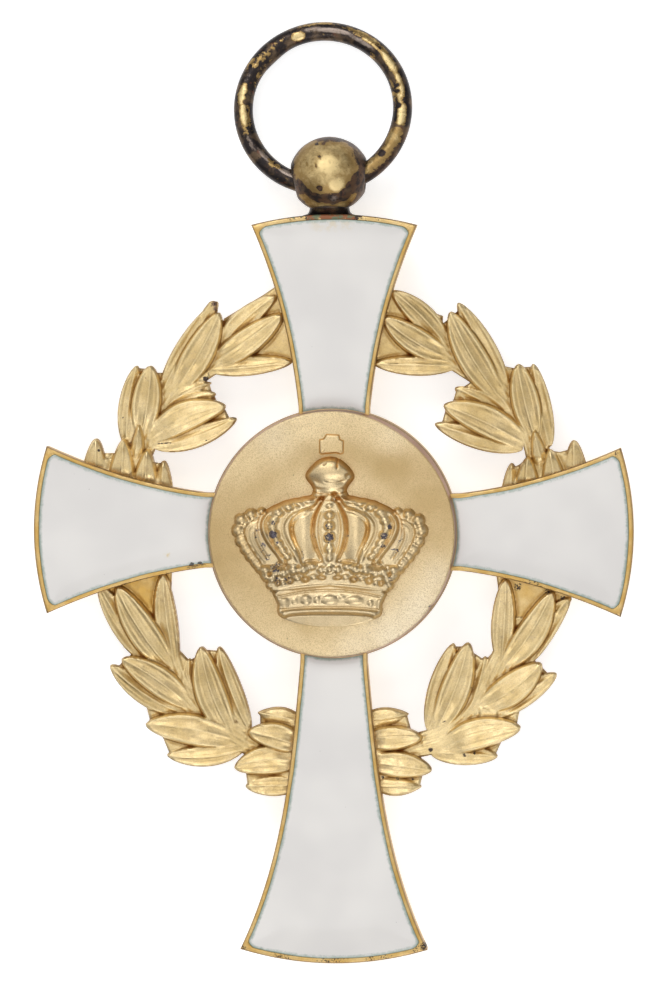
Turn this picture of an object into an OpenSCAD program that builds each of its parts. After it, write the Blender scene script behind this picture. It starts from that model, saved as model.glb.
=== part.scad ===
// Neck badge of an order: a white enamelled cross with a laurel wreath in its angles, a dished
// medallion with a crown in relief, and a wire ring through a ball above the top arm.
// It lies on its back. The origin is the centre of the flat boss behind the medallion,
// +X is to the viewer's right, +Y runs up to the ring and +Z is out of the front. Millimetres.

/* [Cross] */
// Thickness of the arms, from back to the top of their rims
arm_thick = 2.6; // [2.4:0.1:3.2]
// Width of the rim round each enamel panel
rim_w = 0.42; // [0.3:0.02:0.6]
// Depth of the cells that hold the enamel
cell_depth = 0.7; // [0.5:0.05:0.9]
// Radius of the rounded corners of the enamel
cell_corner = 0.8; // [0.4:0.1:1.2]
// Height of the enamel's dome above the rim
enamel_dome = 0.22; // [0.1:0.02:0.4]

/* [Medallion] */
// Radius of the medallion at its foot
medallion_r = 12.45; // [11.8:0.05:12.6]
// Height of the medallion's edge
medallion_h = 1.35; // [1.0:0.05:1.8]
// Depth of the dish in its face
dish_depth = 0.5; // [0.3:0.05:0.7]
// Height of the crown above the centre of the dish
crown_h = 1.15; // [0.8:0.05:1.5]
// Radius of the flat boss on the back
boss_r = 10.5; // [9:0.1:12]

/* [Wreath] */
// Thickness of the wreath casting from its back to its highest leaf
wreath_thick = 1.6; // [1.4:0.05:1.8]
// Height from one layer of leaves to the next
layer_step = 0.2; // [0.1:0.02:0.25]
// Height of a leaf's midrib above its edge
leaf_rise = 0.28; // [0.15:0.01:0.4]

/* [Suspension] */
// Radius of the suspension ball
ball_r = 3.8; // [3.6:0.05:4.0]
// Radius of the ring's wire
wire_r = 0.93; // [0.8:0.01:0.95]
// Radius of the ring, from its centre to the middle of its wire
ring_r = 7.9; // [7.8:0.05:8.0]
// Distance from the bore's axis to the centre of the ring
ring_drop = 7.25; // [7.2:0.01:7.3]

/* [Hidden] */
$fn = 96;
seat = 0.05;
eps = 0.01;
mid_z = ball_r;
half_thick = arm_thick / 2;
medallion_y = 0.15;
hub_r = medallion_r + 0.1;

// Ball, bore and collar; the bore clears the wire where the ring curves through it
ball_x = -0.35;
ball_y = 36.05;
bore_y = 35.6;
bore_skew = 5;
bore_play = 0.06;
bore_r = ring_r - ring_drop + wire_r + bore_play;
neck_r = 2.0;
neck_y = 31.9;
fillet_r = 2.6;
fillet_y = 31.6;
ring_lean = asin((mid_z - wire_r) / (ring_drop + ring_r));

// Curve of the enamel's face, slope of the medallion's edge and reach of its dish
enamel_r = 120;
dome_half = 10;
dome_steps = 6;
edge_slope = 0.25;
dish_half = medallion_r - edge_slope - 0.3;
dish_steps = 5;

// Crown: shift from the centre, depth of its foot in the disc, and its half outline from top to bottom
crown_x = -0.1;
crown_sink = 0.4;
crown_side = [[1.5, 4.1], [4.2, 3.5], [6.7, 2.8], [9.2, 2.1], [9.9, 0.3], [9.5, -0.8], [8.3, -2.6],
    [7.9, -3.6], [6.7, -4.5], [5.65, -5.45], [5.2, -7.3], [4.9, -8.2], [2.6, -8.8], [0, -9.0]];

gilt = [0.86, 0.72, 0.42];
matt_gilt = [0.80, 0.68, 0.44];
white_enamel = [0.89, 0.89, 0.88];
dark_brass = [0.36, 0.28, 0.20];

// One row for each arm: direction in degrees, shift of its axis, distance to its tips, distance
// to the crest of its end, half of its width at the tips and at the waist, bend of its sides
TURN = 0;
SHIFT = 1;
TIPS = 2;
CREST = 3;
TIP_HALF = 4;
WAIST_HALF = 5;
BEND = 6;
top_arm = [90, -0.15, 31.0, 32.05, 8.30, 3.55, 2.2];
left_arm = [180, -0.45, 28.7, 30.0, 8.40, 3.75, 2.0];
right_arm = [0, 0.30, 28.8, 30.1, 8.45, 3.85, 2.0];
bottom_arm = [270, 0.12, 41.6, 43.0, 9.40, 3.35, 3.2];
arms = [top_arm, left_arm, right_arm, bottom_arm];
side_steps = 9;
end_steps = 8;
straight_share = 0.42;
arm_start = 6;
waist_at = 12.7;

// Half of an arm's width at a distance from the centre: slow at the waist and quick at the tips
function along(arm, at) = max(0, (at - waist_at) / (arm[TIPS] - waist_at));
function half_at(arm, at) = arm[WAIST_HALF] + (arm[TIP_HALF] - arm[WAIST_HALF])
    * (straight_share * along(arm, at) + (1 - straight_share) * pow(along(arm, at), arm[BEND]));

// Sides and convex end of an arm that points along +X
function arm_side(arm) = [for (i = [0:side_steps])
    let (at = waist_at + (arm[TIPS] - waist_at) * i / side_steps) [at, half_at(arm, at)]];
function arm_end(arm) = [for (i = [1:end_steps - 1]) let (u = 1 - 2 * i / end_steps)
    [arm[TIPS] + (arm[CREST] - arm[TIPS]) * (1 - u * u), arm[TIP_HALF] * u]];
function below(points) = [for (i = [len(points) - 1:-1:0]) [points[i][0], -points[i][1]]];

module arm_outline(arm) {
    rotate(arm[TURN])
        translate([0, arm[SHIFT]])
            polygon(concat([[arm_start, arm[WAIST_HALF]]], arm_side(arm), arm_end(arm),
                below(arm_side(arm)), [[arm_start, -arm[WAIST_HALF]]]));
}

// Cell of an arm, its rim's width inside the arm, with round corners; inset makes it smaller
module cell_outline(arm, inset) {
    difference() {
        offset(r = cell_corner, $fn = 24)
            offset(delta = -rim_w - cell_corner - inset)
                arm_outline(arm);
        translate([0, medallion_y])
            circle(r = hub_r + eps + inset);
    }
}

// Leaves of the wreath by quarter. One row for each leaf: base x and y, tip x and y,
// width, bow to the left of its midrib, layer
BASE_X = 0;
BASE_Y = 1;
TIP_X = 2;
TIP_Y = 3;
LEAF_W = 4;
BOW = 5;
LAYER = 6;
upper_left_leaves = [
    [-12.1, 17.3, -5.7, 23.9, 2.4, 0.6, 2],
    [-12.4, 16.9, -5.1, 22.0, 2.7, -0.2, 4],
    [-12.6, 16.5, -4.1, 17.3, 2.0, 0.0, 3],
    [-17.4, 13.7, -11.6, 23.3, 2.3, 0.2, 2],
    [-16.0, 14.3, -11.4, 22.2, 3.0, -0.3, 4],
    [-16.7, 12.7, -12.2, 15.2, 1.6, 0.4, 1],
    [-17.7, 11.0, -11.8, 14.1, 2.0, 0.6, 2],
    [-18.6, 9.4, -10.8, 12.9, 3.0, 0.7, 4],
    [-18.0, 8.7, -9.7, 11.6, 2.2, -0.4, 2],
    [-20.8, 8.9, -19.7, 16.9, 2.2, 0.2, 2],
    [-19.3, 9.9, -18.3, 16.9, 2.9, -0.1, 4],
    [-20.1, 7.0, -19.5, 11.1, 1.6, -0.2, 3],
    [-21.3, 4.9, -21.0, 9.5, 2.7, 0.0, 4],
    [-18.9, 4.5, -18.6, 8.5, 2.4, 0.0, 4],
    [-17.1, 4.3, -17.0, 7.4, 1.9, 0.0, 2],
    [-24.0, 5.9, -23.8, 9.6, 2.5, 0.0, 2]
];
upper_right_leaves = [
    [11.6, 18.5, 5.9, 24.4, 2.5, -0.4, 2],
    [11.7, 17.7, 5.1, 21.7, 2.7, 0.3, 4],
    [12.4, 16.9, 4.1, 17.1, 2.0, 0.1, 3],
    [17.5, 13.7, 12.5, 23.2, 2.4, -0.2, 2],
    [16.8, 13.7, 11.7, 22.3, 3.0, 0.4, 4],
    [17.8, 11.1, 12.2, 14.7, 2.1, -0.3, 1],
    [19.4, 9.1, 11.1, 13.0, 3.1, -0.4, 4],
    [19.0, 8.6, 10.2, 11.1, 2.2, 0.2, 2],
    [21.7, 8.8, 20.0, 17.1, 2.2, 0.1, 2],
    [20.2, 9.8, 18.5, 17.1, 2.8, 0.1, 4],
    [21.3, 6.5, 20.2, 10.5, 1.7, 0.2, 3],
    [19.4, 4.5, 19.5, 7.8, 2.4, 0.0, 4],
    [22.2, 4.9, 21.7, 8.6, 2.3, 0.0, 4],
    [17.8, 4.1, 17.9, 7.2, 1.9, 0.0, 2],
    [24.3, 5.5, 24.1, 9.5, 2.6, 0.0, 2]
];
lower_left_leaves = [
    [-18.7, -12.9, -23.6, -5.0, 2.4, 0.1, 2],
    [-16.1, -13.7, -21.7, -5.3, 3.1, 0.3, 4],
    [-15.9, -13.3, -17.1, -3.9, 2.3, 0.3, 3],
    [-14.8, -18.1, -22.4, -13.2, 2.4, 0.4, 2],
    [-14.3, -17.3, -21.2, -12.5, 2.9, -0.3, 4],
    [-9.7, -20.7, -18.8, -19.1, 3.1, -0.3, 4],
    [-8.9, -21.5, -16.7, -22.2, 2.2, 0.4, 2],
    [-10.1, -20.3, -13.3, -11.3, 3.1, 0.6, 4],
    [-8.4, -19.7, -11.5, -11.3, 2.2, 0.3, 2],
    [-13.3, -17.7, -14.5, -12.5, 1.8, 0.3, 1],
    [-2.8, -18.9, -7.6, -17.9, 2.1, 0.0, 1],
    [-2.8, -21.3, -8.5, -19.8, 2.7, -0.3, 4],
    [-3.3, -22.9, -9.9, -23.4, 2.9, -0.5, 3],
    [-3.3, -25.2, -8.8, -25.3, 2.1, 0.0, 1]
];
lower_right_leaves = [
    [19.4, -12.9, 23.7, -6.3, 2.4, 0.4, 2],
    [16.9, -13.5, 22.0, -5.7, 2.9, -0.5, 4],
    [16.8, -12.9, 17.3, -4.4, 2.4, 0.0, 3],
    [15.6, -18.3, 22.4, -13.9, 2.4, 0.0, 2],
    [14.7, -17.4, 20.9, -12.9, 3.1, -0.3, 4],
    [10.6, -21.5, 18.8, -19.3, 3.1, 0.5, 4],
    [9.8, -21.9, 16.5, -22.2, 2.1, 0.0, 2],
    [9.6, -19.7, 12.1, -10.9, 2.4, 0.1, 2],
    [10.3, -19.7, 13.6, -10.8, 3.0, -0.4, 4],
    [13.5, -17.9, 15.3, -12.2, 1.8, -0.2, 1],
    [2.5, -18.7, 7.6, -18.0, 2.0, 0.0, 1],
    [2.9, -20.7, 8.9, -20.3, 2.4, 0.1, 4],
    [3.4, -22.9, 9.9, -23.6, 2.6, 0.2, 3],
    [3.8, -25.2, 8.9, -25.3, 2.0, 0.0, 1]
];

// Stems that the leaves grow from, each a row of points from the arm outwards
upper_left_stem = [[-20.1, 6.0], [-18.8, 9.5], [-17.3, 12.5], [-15.3, 15.0], [-11.8, 17.5], [-8.0, 20.0]];
upper_right_stem = [[20.8, 6.0], [20.0, 10.0], [18.5, 12.5], [16.2, 15.0], [11.7, 18.0], [8.0, 20.0]];
lower_left_stem = [[-3.0, -22.4], [-7.2, -21.5], [-11.7, -19.0], [-15.4, -15.5], [-16.8, -12.0],
    [-19.0, -6.5]];
lower_right_stem = [[3.0, -22.2], [6.7, -21.5], [11.7, -20.0], [15.2, -16.0], [17.2, -12.0],
    [19.6, -6.5]];

// Webs of metal that close the corners between leaves and arms
upper_left_web = [[-3.6, 17.3], [-8.0, 17.5], [-10.4, 18.6], [-11.0, 21.6], [-7.0, 24.0], [-5.7, 24.9],
    [-4.8, 24.4]];
upper_right_web = [[3.8, 17.0], [8.0, 17.2], [10.8, 18.8], [11.0, 21.9], [7.6, 23.0], [5.8, 24.6],
    [5.0, 24.2]];
lower_left_web = [[-23.6, -5.2], [-16.2, -2.8], [-16.4, -9.0], [-18.5, -11.8], [-21.0, -11.5]];
lower_right_web = [[16.2, -3.0], [23.6, -5.4], [21.0, -11.8], [18.5, -12.2], [17.0, -9.0]];

// Membranes that fill the notch between two leaves. One row for each: a leaf's place in its table,
// how far along it the membrane reaches, and the same for its neighbour
upper_left_notches = [[8, 0.93, 7, 0.97], [7, 0.92, 6, 0.97], [6, 0.95, 5, 0.95], [5, 0.9, 4, 0.1],
    [9, 0.97, 10, 0.95], [3, 0.95, 4, 0.95], [4, 0.97, 0, 0.4], [10, 0.9, 3, 0.25], [12, 0.9, 15, 0.8],
    [12, 0.7, 9, 0.1], [13, 0.7, 14, 0.9], [12, 0.8, 13, 0.8], [12, 0.9, 11, 0.6]];
upper_right_notches = [[7, 0.93, 6, 0.97], [6, 0.92, 5, 0.97], [5, 0.93, 4, 0.3], [8, 0.97, 9, 0.95],
    [3, 0.95, 4, 0.95], [4, 0.95, 0, 0.3], [9, 0.93, 3, 0.35], [12, 0.85, 14, 0.8], [12, 0.8, 8, 0.2],
    [11, 0.8, 13, 0.85]];
lower_left_notches = [[7, 0.97, 8, 0.95], [2, 0.3, 9, 0.96], [9, 0.96, 7, 0.93], [0, 0.2, 4, 0.95],
    [3, 0.93, 4, 0.97], [3, 0.55, 5, 0.95], [5, 0.88, 6, 0.96], [10, 0.95, 11, 0.8], [11, 0.8, 12, 0.85],
    [12, 0.85, 13, 0.96]];
lower_right_notches = [[7, 0.96, 8, 0.96], [2, 0.25, 9, 0.93], [9, 0.93, 8, 0.93], [0, 0.1, 4, 0.97],
    [3, 0.92, 4, 0.97], [3, 0.5, 5, 0.95], [5, 0.85, 6, 0.96], [10, 0.96, 11, 0.85], [11, 0.85, 12, 0.9],
    [12, 0.88, 13, 0.96], [1, 0.4, 4, 0.8], [3, 0.5, 5, 0.7]];

quarters = [
    [upper_left_leaves, upper_left_notches, upper_left_stem, upper_left_web],
    [upper_right_leaves, upper_right_notches, upper_right_stem, upper_right_web],
    [lower_left_leaves, lower_left_notches, lower_left_stem, lower_left_web],
    [lower_right_leaves, lower_right_notches, lower_right_stem, lower_right_web]
];

leaf_steps = 5;
stem_half = 1.4;
foot = 2;

// Frame of one leaf: a point on its midrib, and half of its width there
function leaf_dir(leaf) = let (d = [leaf[TIP_X] - leaf[BASE_X], leaf[TIP_Y] - leaf[BASE_Y]]) d / norm(d);
function leaf_side(leaf) = let (d = leaf_dir(leaf)) [-d[1], d[0]];
function midrib(leaf, s) = [leaf[BASE_X], leaf[BASE_Y]] * (1 - s) + [leaf[TIP_X], leaf[TIP_Y]] * s
    + leaf_side(leaf) * leaf[BOW] * 4 * s * (1 - s);
function leaf_half(leaf, s) = leaf[LEAF_W] / 2 * pow(sin(180 * pow(s, 0.92)), 0.62);

// Five points across a leaf: left foot, left edge, midrib, right edge, right foot
function leaf_section(leaf, s) = let (m = midrib(leaf, s), n = leaf_side(leaf) * leaf_half(leaf, s),
    edge = layer_step * leaf[LAYER]) [
        [m[0] + n[0], m[1] + n[1], -foot],
        [m[0] + n[0], m[1] + n[1], edge],
        [m[0], m[1], edge + leaf_rise],
        [m[0] - n[0], m[1] - n[1], edge],
        [m[0] - n[0], m[1] - n[1], -foot]
    ];

// A leaf with a creased top, lofted through its sections from base to tip
module leaf(row) {
    points = [for (i = [0:leaf_steps]) each leaf_section(row, 0.02 + 0.965 * i / leaf_steps)];
    walls = [for (i = [0:leaf_steps - 1], k = [0:4]) let (a = 5 * i, b = a + 5, next = (k + 1) % 5)
        [a + k, b + k, b + next, a + next]];
    base_cap = [0, 1, 2, 3, 4];
    tip_cap = [for (k = [4:-1:0]) 5 * leaf_steps + k];
    polyhedron(points, concat([base_cap], walls, [tip_cap]), convexity = 4);
}

// Outline of a band that follows a row of points
function heading(line, i) = let (a = line[max(i - 1, 0)], b = line[min(i + 1, len(line) - 1)])
    (b - a) / norm(b - a);
function beside(line, i, half) = line[i] + [-heading(line, i)[1], heading(line, i)[0]] * half;
function band(line, half) = concat([for (i = [0:len(line) - 1]) beside(line, i, half)],
    [for (i = [len(line) - 1:-1:0]) beside(line, i, -half)]);

// Low plate of the casting, from under its back up to a height
module plate(height) {
    translate([0, 0, -foot])
        linear_extrude(foot + height)
            children();
}

// Membrane between the midribs of two leaves
function membrane(one, reach, other, other_reach) =
    [midrib(one, 0.13), midrib(one, reach), midrib(other, other_reach), midrib(other, 0.17)];

// One casting of the wreath: leaves, membranes, the stem under them and the web beside the arms,
// cut flat at the back
module wreath_casting(leaves, notches, stem, web) {
    resize([0, 0, wreath_thick])
        difference() {
            union() {
                for (row = leaves)
                    leaf(row);
                for (i = [0:len(notches) - 1])
                    let (row = notches[i])
                        plate(layer_step * (0.6 + 0.03 * i))
                            polygon(membrane(leaves[row[0]], row[1], leaves[row[2]], row[3]));
                plate(layer_step * 0.5)
                    polygon(band(stem, stem_half));
                plate(layer_step * 0.4)
                    polygon(web);
            }
            translate([-50, -50, -foot - 1])
                cube([100, 100, 2]);
        }
}

// Metal between the ball and the top arm: a short neck on a cone of solder
module collar() {
    translate([ball_x, neck_y, 0])
        rotate([-90, 0, 0])
            cylinder(r = neck_r, h = ball_y - neck_y);
    translate([ball_x, fillet_y, 0])
        rotate([-90, 0, 0])
            cylinder(r1 = fillet_r, r2 = neck_r, h = neck_y - fillet_y + eps);
}

// Cross, wreath, boss and ball: one solid
module cross_frame() {
    color(gilt)
        translate([0, 0, mid_z])
            difference() {
                union() {
                    for (arm = arms)
                        translate([0, 0, -half_thick])
                            linear_extrude(arm_thick)
                                arm_outline(arm);
                    translate([0, medallion_y, -half_thick])
                        cylinder(r = hub_r, h = arm_thick);
                    translate([0, 0, -mid_z])
                        cylinder(r = boss_r, h = mid_z);
                    for (quarter = quarters)
                        wreath_casting(quarter[0], quarter[1], quarter[2], quarter[3]);
                    collar();
                    translate([ball_x, ball_y, 0])
                        rotate(90)
                            sphere(ball_r);
                }
                for (arm = arms)
                    translate([0, 0, half_thick - cell_depth])
                        linear_extrude(cell_depth + 1)
                            cell_outline(arm, 0);
                translate([ball_x, bore_y, 0])
                    rotate([0, 90, bore_skew])
                        cylinder(r = bore_r, h = 4 * ball_r, center = true);
            }
}

// Cross-section of the enamel's curved face, the top of a large circle drawn as a few chords
function dome_face() = [for (i = [-dome_steps:dome_steps]) let (across = dome_half * i / dome_steps)
    [across, sqrt(enamel_r * enamel_r - across * across) - enamel_r]];

// White enamel of one arm, its face curved across the arm
module enamel(arm) {
    color(white_enamel)
        translate([0, 0, mid_z])
            intersection() {
                translate([0, 0, half_thick - cell_depth + seat])
                    linear_extrude(cell_depth + 1)
                        cell_outline(arm, seat);
                rotate(arm[TURN])
                    translate([0, arm[SHIFT], half_thick + enamel_dome])
                        rotate([90, 0, 90])
                            linear_extrude(50)
                                polygon(concat([[dome_half, -2], [-dome_half, -2]], dome_face()));
            }
}

function curve(a, b, c, s) = a * (1 - s) * (1 - s) + b * 2 * s * (1 - s) + c * s * s;
function curve_line(a, b, c, steps) = [for (i = [0:steps]) curve(a, b, c, i / steps)];

// A raised band that follows a curve, and the same on both sides of the crown
module raised_band(a, b, c, half, height) {
    translate([0, 0, -crown_sink])
        linear_extrude(crown_sink + height)
            polygon(band(curve_line(a, b, c, 8), half));
}

module on_both_sides() {
    children();
    mirror([1, 0, 0])
        children();
}

// Pearls in a row along a curve
module pearls(a, b, c, count, r, height) {
    for (i = [0:count - 1])
        translate([curve(a, b, c, i / (count - 1))[0], curve(a, b, c, i / (count - 1))[1], height])
            sphere(r, $fn = 8);
}

// Cross with flared arms on top of the orb
module orb_cross() {
    translate([0, 9.05, -crown_sink])
        linear_extrude(crown_sink + 0.6)
            for (turn = [0:90:270])
                rotate(turn)
                    polygon([[0, -0.3], [1.25, -0.75], [1.25, 0.75], [0, 0.3]]);
    translate([-0.6, 7.4, -crown_sink])
        cube([1.2, 0.9, crown_sink + 0.5]);
}

// Crown in relief: cap, arches with pearls, jewelled circlet, orb and cross
module crown() {
    resize([0, 0, crown_h + crown_sink]) {
        translate([0, 0, -crown_sink])
            linear_extrude(crown_sink + 0.3)
                polygon(concat(crown_side, [for (i = [len(crown_side) - 1:-1:0])
                    [-crown_side[i][0], crown_side[i][1]]]));
        on_both_sides() {
            raised_band([1.6, 3.6], [9.8, 3.2], [7.3, -4.2], 1.2, 0.5);
            pearls([4.4, 3.5], [12.3, 3.2], [7.6, -3.8], 10, 0.48, 0.4);
            raised_band([1.2, 3.4], [6.4, 3.0], [3.9, -3.0], 0.85, 0.65);
            pearls([2.6, 3.0], [6.6, 2.2], [4.3, -1.8], 5, 0.5, 0.7);
        }
        raised_band([0, 4.0], [0, 1.0], [0, -3.0], 1.35, 0.7);
        pearls([0, 2.2], [0, 0.8], [0, -0.6], 3, 0.6, 0.75);
        pearls([-6.9, -4.0], [0, -3.7], [6.9, -4.0], 11, 0.62, 0.45);
        raised_band([-5.6, -5.3], [0, -4.9], [5.6, -5.3], 0.3, 0.75);
        raised_band([-5.2, -6.5], [0, -6.0], [5.2, -6.5], 0.9, 0.5);
        pearls([-4.4, -6.45], [0, -6.1], [4.4, -6.45], 5, 0.55, 0.45);
        raised_band([-4.9, -7.8], [0, -7.3], [4.9, -7.8], 0.42, 0.85);
        translate([0, 6.2, 0.1])
            scale([2.45, 1.75, 0.9])
                sphere(1, $fn = 20);
        orb_cross();
    }
}

// Section of the disc's face, from its sloping edge down to the centre of the dish
function dish_face() = concat([[medallion_r - edge_slope, medallion_h]], [for (i = [dish_steps:-1:0])
    [dish_half * i / dish_steps, medallion_h - dish_depth * (1 - pow(i / dish_steps, 2))]]);

// Dished disc with the crown on it
module medallion() {
    color(matt_gilt)
        translate([0, medallion_y, mid_z + half_thick + seat]) {
            rotate_extrude()
                polygon(concat([[0, 0], [medallion_r, 0]], dish_face()));
            translate([crown_x, 0, medallion_h - dish_depth])
                crown();
        }
}

// Wire ring, leaning back from the bore until its far side meets the surface
module suspension_ring() {
    color(dark_brass)
        translate([ball_x, bore_y, mid_z])
            rotate([-ring_lean, 0, bore_skew])
                translate([0, ring_drop, 0])
                    rotate_extrude()
                        translate([ring_r, 0])
                            circle(wire_r);
}

cross_frame();
enamel(top_arm);  // enamel_top
enamel(left_arm);  // enamel_left
enamel(right_arm);  // enamel_right
enamel(bottom_arm);  // enamel_bottom
medallion();
suspension_ring();
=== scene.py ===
import math

import bmesh
import bpy
import numpy as np
from mathutils import Matrix, Vector, noise


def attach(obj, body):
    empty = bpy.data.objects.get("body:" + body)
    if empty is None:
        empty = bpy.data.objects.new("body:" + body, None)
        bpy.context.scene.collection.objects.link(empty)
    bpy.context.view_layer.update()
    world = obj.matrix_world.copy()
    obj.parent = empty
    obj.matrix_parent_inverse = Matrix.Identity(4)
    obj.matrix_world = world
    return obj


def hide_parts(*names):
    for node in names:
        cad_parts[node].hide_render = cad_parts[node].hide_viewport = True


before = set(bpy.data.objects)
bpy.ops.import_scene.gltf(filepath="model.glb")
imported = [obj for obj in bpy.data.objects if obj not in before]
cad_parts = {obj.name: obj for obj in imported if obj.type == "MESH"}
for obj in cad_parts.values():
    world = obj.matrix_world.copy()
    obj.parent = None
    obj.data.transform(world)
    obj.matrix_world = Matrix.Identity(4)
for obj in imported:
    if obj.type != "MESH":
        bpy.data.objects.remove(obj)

mm = 0.001
scene = bpy.context.scene
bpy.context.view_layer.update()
print("frame loaded")

# Heights above the table in millimetres, as the solids have them
levels = {
    "armBack": 2.5,
    "wreathBack": 3.03,
    "middle": 3.8,
    "cellFloor": 4.42,
    "rimTop": 5.1,
    "discFoot": 5.13,
    "discEdge": 6.5,
}
discCentre = (0.0, 0.15)


# Camera and light
cameraSetup = {
    "target": (0.15, 3.5, 5.0),
    "leanRight": 3.0,
    "leanUp": 2.0,
    "distance": 620.0,
    "fieldHeight": 100.0,
}


def placeCamera(setup):
    right, up = math.radians(setup["leanRight"]), math.radians(setup["leanUp"])
    back = Vector((math.tan(right), math.tan(up), 1)).normalized()
    across = Vector((0, 1, 0)).cross(back).normalized()
    data = bpy.data.cameras.new("cameraAbove")
    data.sensor_width = 36
    data.lens = 36 * setup["distance"] / setup["fieldHeight"]
    data.clip_start, data.clip_end = 0.05, 5
    camera = bpy.data.objects.new("cameraAbove", data)
    scene.collection.objects.link(camera)
    turn = Matrix((across, back.cross(across), back)).transposed().to_4x4()
    place = Vector(setup["target"]) * mm + back * setup["distance"] * mm
    camera.matrix_world = Matrix.Translation(place) @ turn
    scene.camera = camera


# One row for each soft box: name, place, width, length, turn, watts
softBoxes = [
    ("boxAbove", (-45, 10, 820), 300, 700, 26, 0.72),
    ("boxHead", (-170, 560, 600), 560, 420, 0, 2.10),
    ("boxFoot", (120, -600, 560), 560, 420, 0, 1.75),
    ("boxLeft", (-640, 60, 420), 500, 500, 0, 0.62),
    ("boxRight", (640, -20, 420), 500, 500, 0, 0.50),
]
skyStrength = 0.55
# Place on the way from below to above, colour
skyRamp = [(0.0, (0.10, 0.095, 0.09, 1)), (0.45, (0.40, 0.39, 0.38, 1)), (0.95, (1.0, 1.0, 1.0, 1))]


def lightStudio():
    for name, place, width, length, turn, watts in softBoxes:
        data = bpy.data.lights.new(name, "AREA")
        data.shape = "RECTANGLE"
        data.size, data.size_y = width * mm, length * mm
        data.energy = watts
        lamp = bpy.data.objects.new(name, data)
        scene.collection.objects.link(lamp)
        lamp.location = Vector(place) * mm
        facing = (-lamp.location).to_track_quat("-Z", "Y").to_matrix()
        lamp.rotation_euler = (facing @ Matrix.Rotation(math.radians(turn), 3, "Z")).to_euler()
    world = bpy.data.worlds.new("studio")
    world.use_nodes = True
    scene.world = world
    tree = world.node_tree
    background = tree.nodes["Background"]
    background.inputs["Strength"].default_value = skyStrength
    place = tree.nodes.new("ShaderNodeTexCoord")
    split = tree.nodes.new("ShaderNodeSeparateXYZ")
    sky = tree.nodes.new("ShaderNodeValToRGB")
    sky.color_ramp.elements.new(0.5)
    for element, (position, colour) in zip(sky.color_ramp.elements, skyRamp):
        element.position, element.color = position, colour
    tree.links.new(place.outputs["Generated"], split.inputs[0])
    tree.links.new(split.outputs["Z"], sky.inputs["Fac"])
    tree.links.new(sky.outputs["Color"], background.inputs["Color"])
    scene.view_settings.view_transform = "Standard"


floorLook = {
    "half": 0.9,
    "below": 0.0002,
    "Base Color": (0.74, 0.74, 0.74, 1),
    "Emission Color": (1.0, 1.0, 1.0, 1),
    "Emission Strength": 0.62,
    "Roughness": 0.9,
    "Specular IOR Level": 0.1,
}


def layFloor():
    half = floorLook["half"]
    mesh = bpy.data.meshes.new("floor")
    corners = [(-half, -half, 0), (half, -half, 0), (half, half, 0), (-half, half, 0)]
    mesh.from_pydata(corners, [], [(0, 1, 2, 3)])
    floor = bpy.data.objects.new("floor", mesh)
    scene.collection.objects.link(floor)
    material = bpy.data.materials.new("paleFloor")
    material.use_nodes = True
    shader = material.node_tree.nodes["Principled BSDF"]
    for socket in ("Base Color", "Emission Color", "Emission Strength", "Roughness", "Specular IOR Level"):
        shader.inputs[socket].default_value = floorLook[socket]
    mesh.materials.append(material)
    floor.location.z = -floorLook["below"]


# Material nodes
class Finish:
    # a material whose nodes are added one by one

    def __init__(self, name):
        self.material = bpy.data.materials.new(name)
        self.material.use_nodes = True
        self.tree = self.material.node_tree
        self.shader = self.tree.nodes["Principled BSDF"]
        self.place = self.add("TexCoord").outputs["Object"]

    def add(self, kind, **inputs):
        node = self.tree.nodes.new("ShaderNode" + kind)
        for socket, value in inputs.items():
            self.wire(node, socket, value)
        return node

    def wire(self, node, socket, value):
        if hasattr(value, "is_output"):
            self.tree.links.new(value, node.inputs[socket])
        elif value is not None:
            node.inputs[socket].default_value = value

    def put(self, socket, value):
        self.wire(self.shader, socket, value)

    def sums(self, operation, a, b=None, c=None, clamp=False):
        node = self.add("Math")
        node.operation = operation
        node.use_clamp = clamp
        for index, value in enumerate((a, b, c)):
            self.wire(node, index, value)
        return node.outputs[0]

    def moved(self, x, y, z):
        # the place on the object, moved so that each grain differs
        return self.add("Mapping", Vector=self.place, Location=(x, y, z)).outputs[0]

    def grain(self, size, detail=3.0, rough=0.55, warp=0.0, seed=0.0):
        # cloudy noise whose blobs are about size millimetres across
        place = self.moved(seed * 0.137, seed * 0.071, seed * 0.113)
        node = self.add("TexNoise", Vector=place, Scale=1 / (size * mm), Detail=detail, Roughness=rough,
                        Distortion=warp)
        return node.outputs["Fac"]

    def spots(self, size, seed=0.0):
        # distance to the nearest of scattered points about size millimetres apart
        place = self.moved(seed * 0.091, seed * 0.173, seed * 0.057)
        return self.add("TexVoronoi", Vector=place, Scale=1 / (size * mm)).outputs["Distance"]

    def painted(self, name):
        node = self.add("Attribute")
        node.attribute_name = name
        return node.outputs["Fac"]

    def spread(self, value, low, high, toLow=0.0, toHigh=1.0):
        node = self.add("MapRange")
        node.interpolation_type = "SMOOTHSTEP"
        for index, number in enumerate((value, low, high, toLow, toHigh)):
            self.wire(node, index, number)
        return node.outputs[0]

    def blend(self, share, a, b):
        node = self.add("Mix")
        node.data_type = "RGBA"
        for index, value in ((0, share), (6, a), (7, b)):
            self.wire(node, index, value)
        return node.outputs[2]

    def bump(self, height, distance, under=None):
        return self.add("Bump", Strength=1.0, Distance=distance * mm, Height=height, Normal=under).outputs[0]

    def frayed(self, value, grain, reach):
        # a painted value whose edge a grain breaks up
        return self.sums("MULTIPLY_ADD", self.sums("SUBTRACT", grain, 0.5), reach, value)

    def clouded(self, base, look):
        # clouds of other colours over a base
        for name, size, detail, rough, seed, low, high, toLow, toHigh in look["clouds"]:
            share = self.spread(self.grain(size, detail, rough, seed=seed), low, high, toLow, toHigh)
            base = self.blend(share, base, look[name])
        return base


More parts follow.
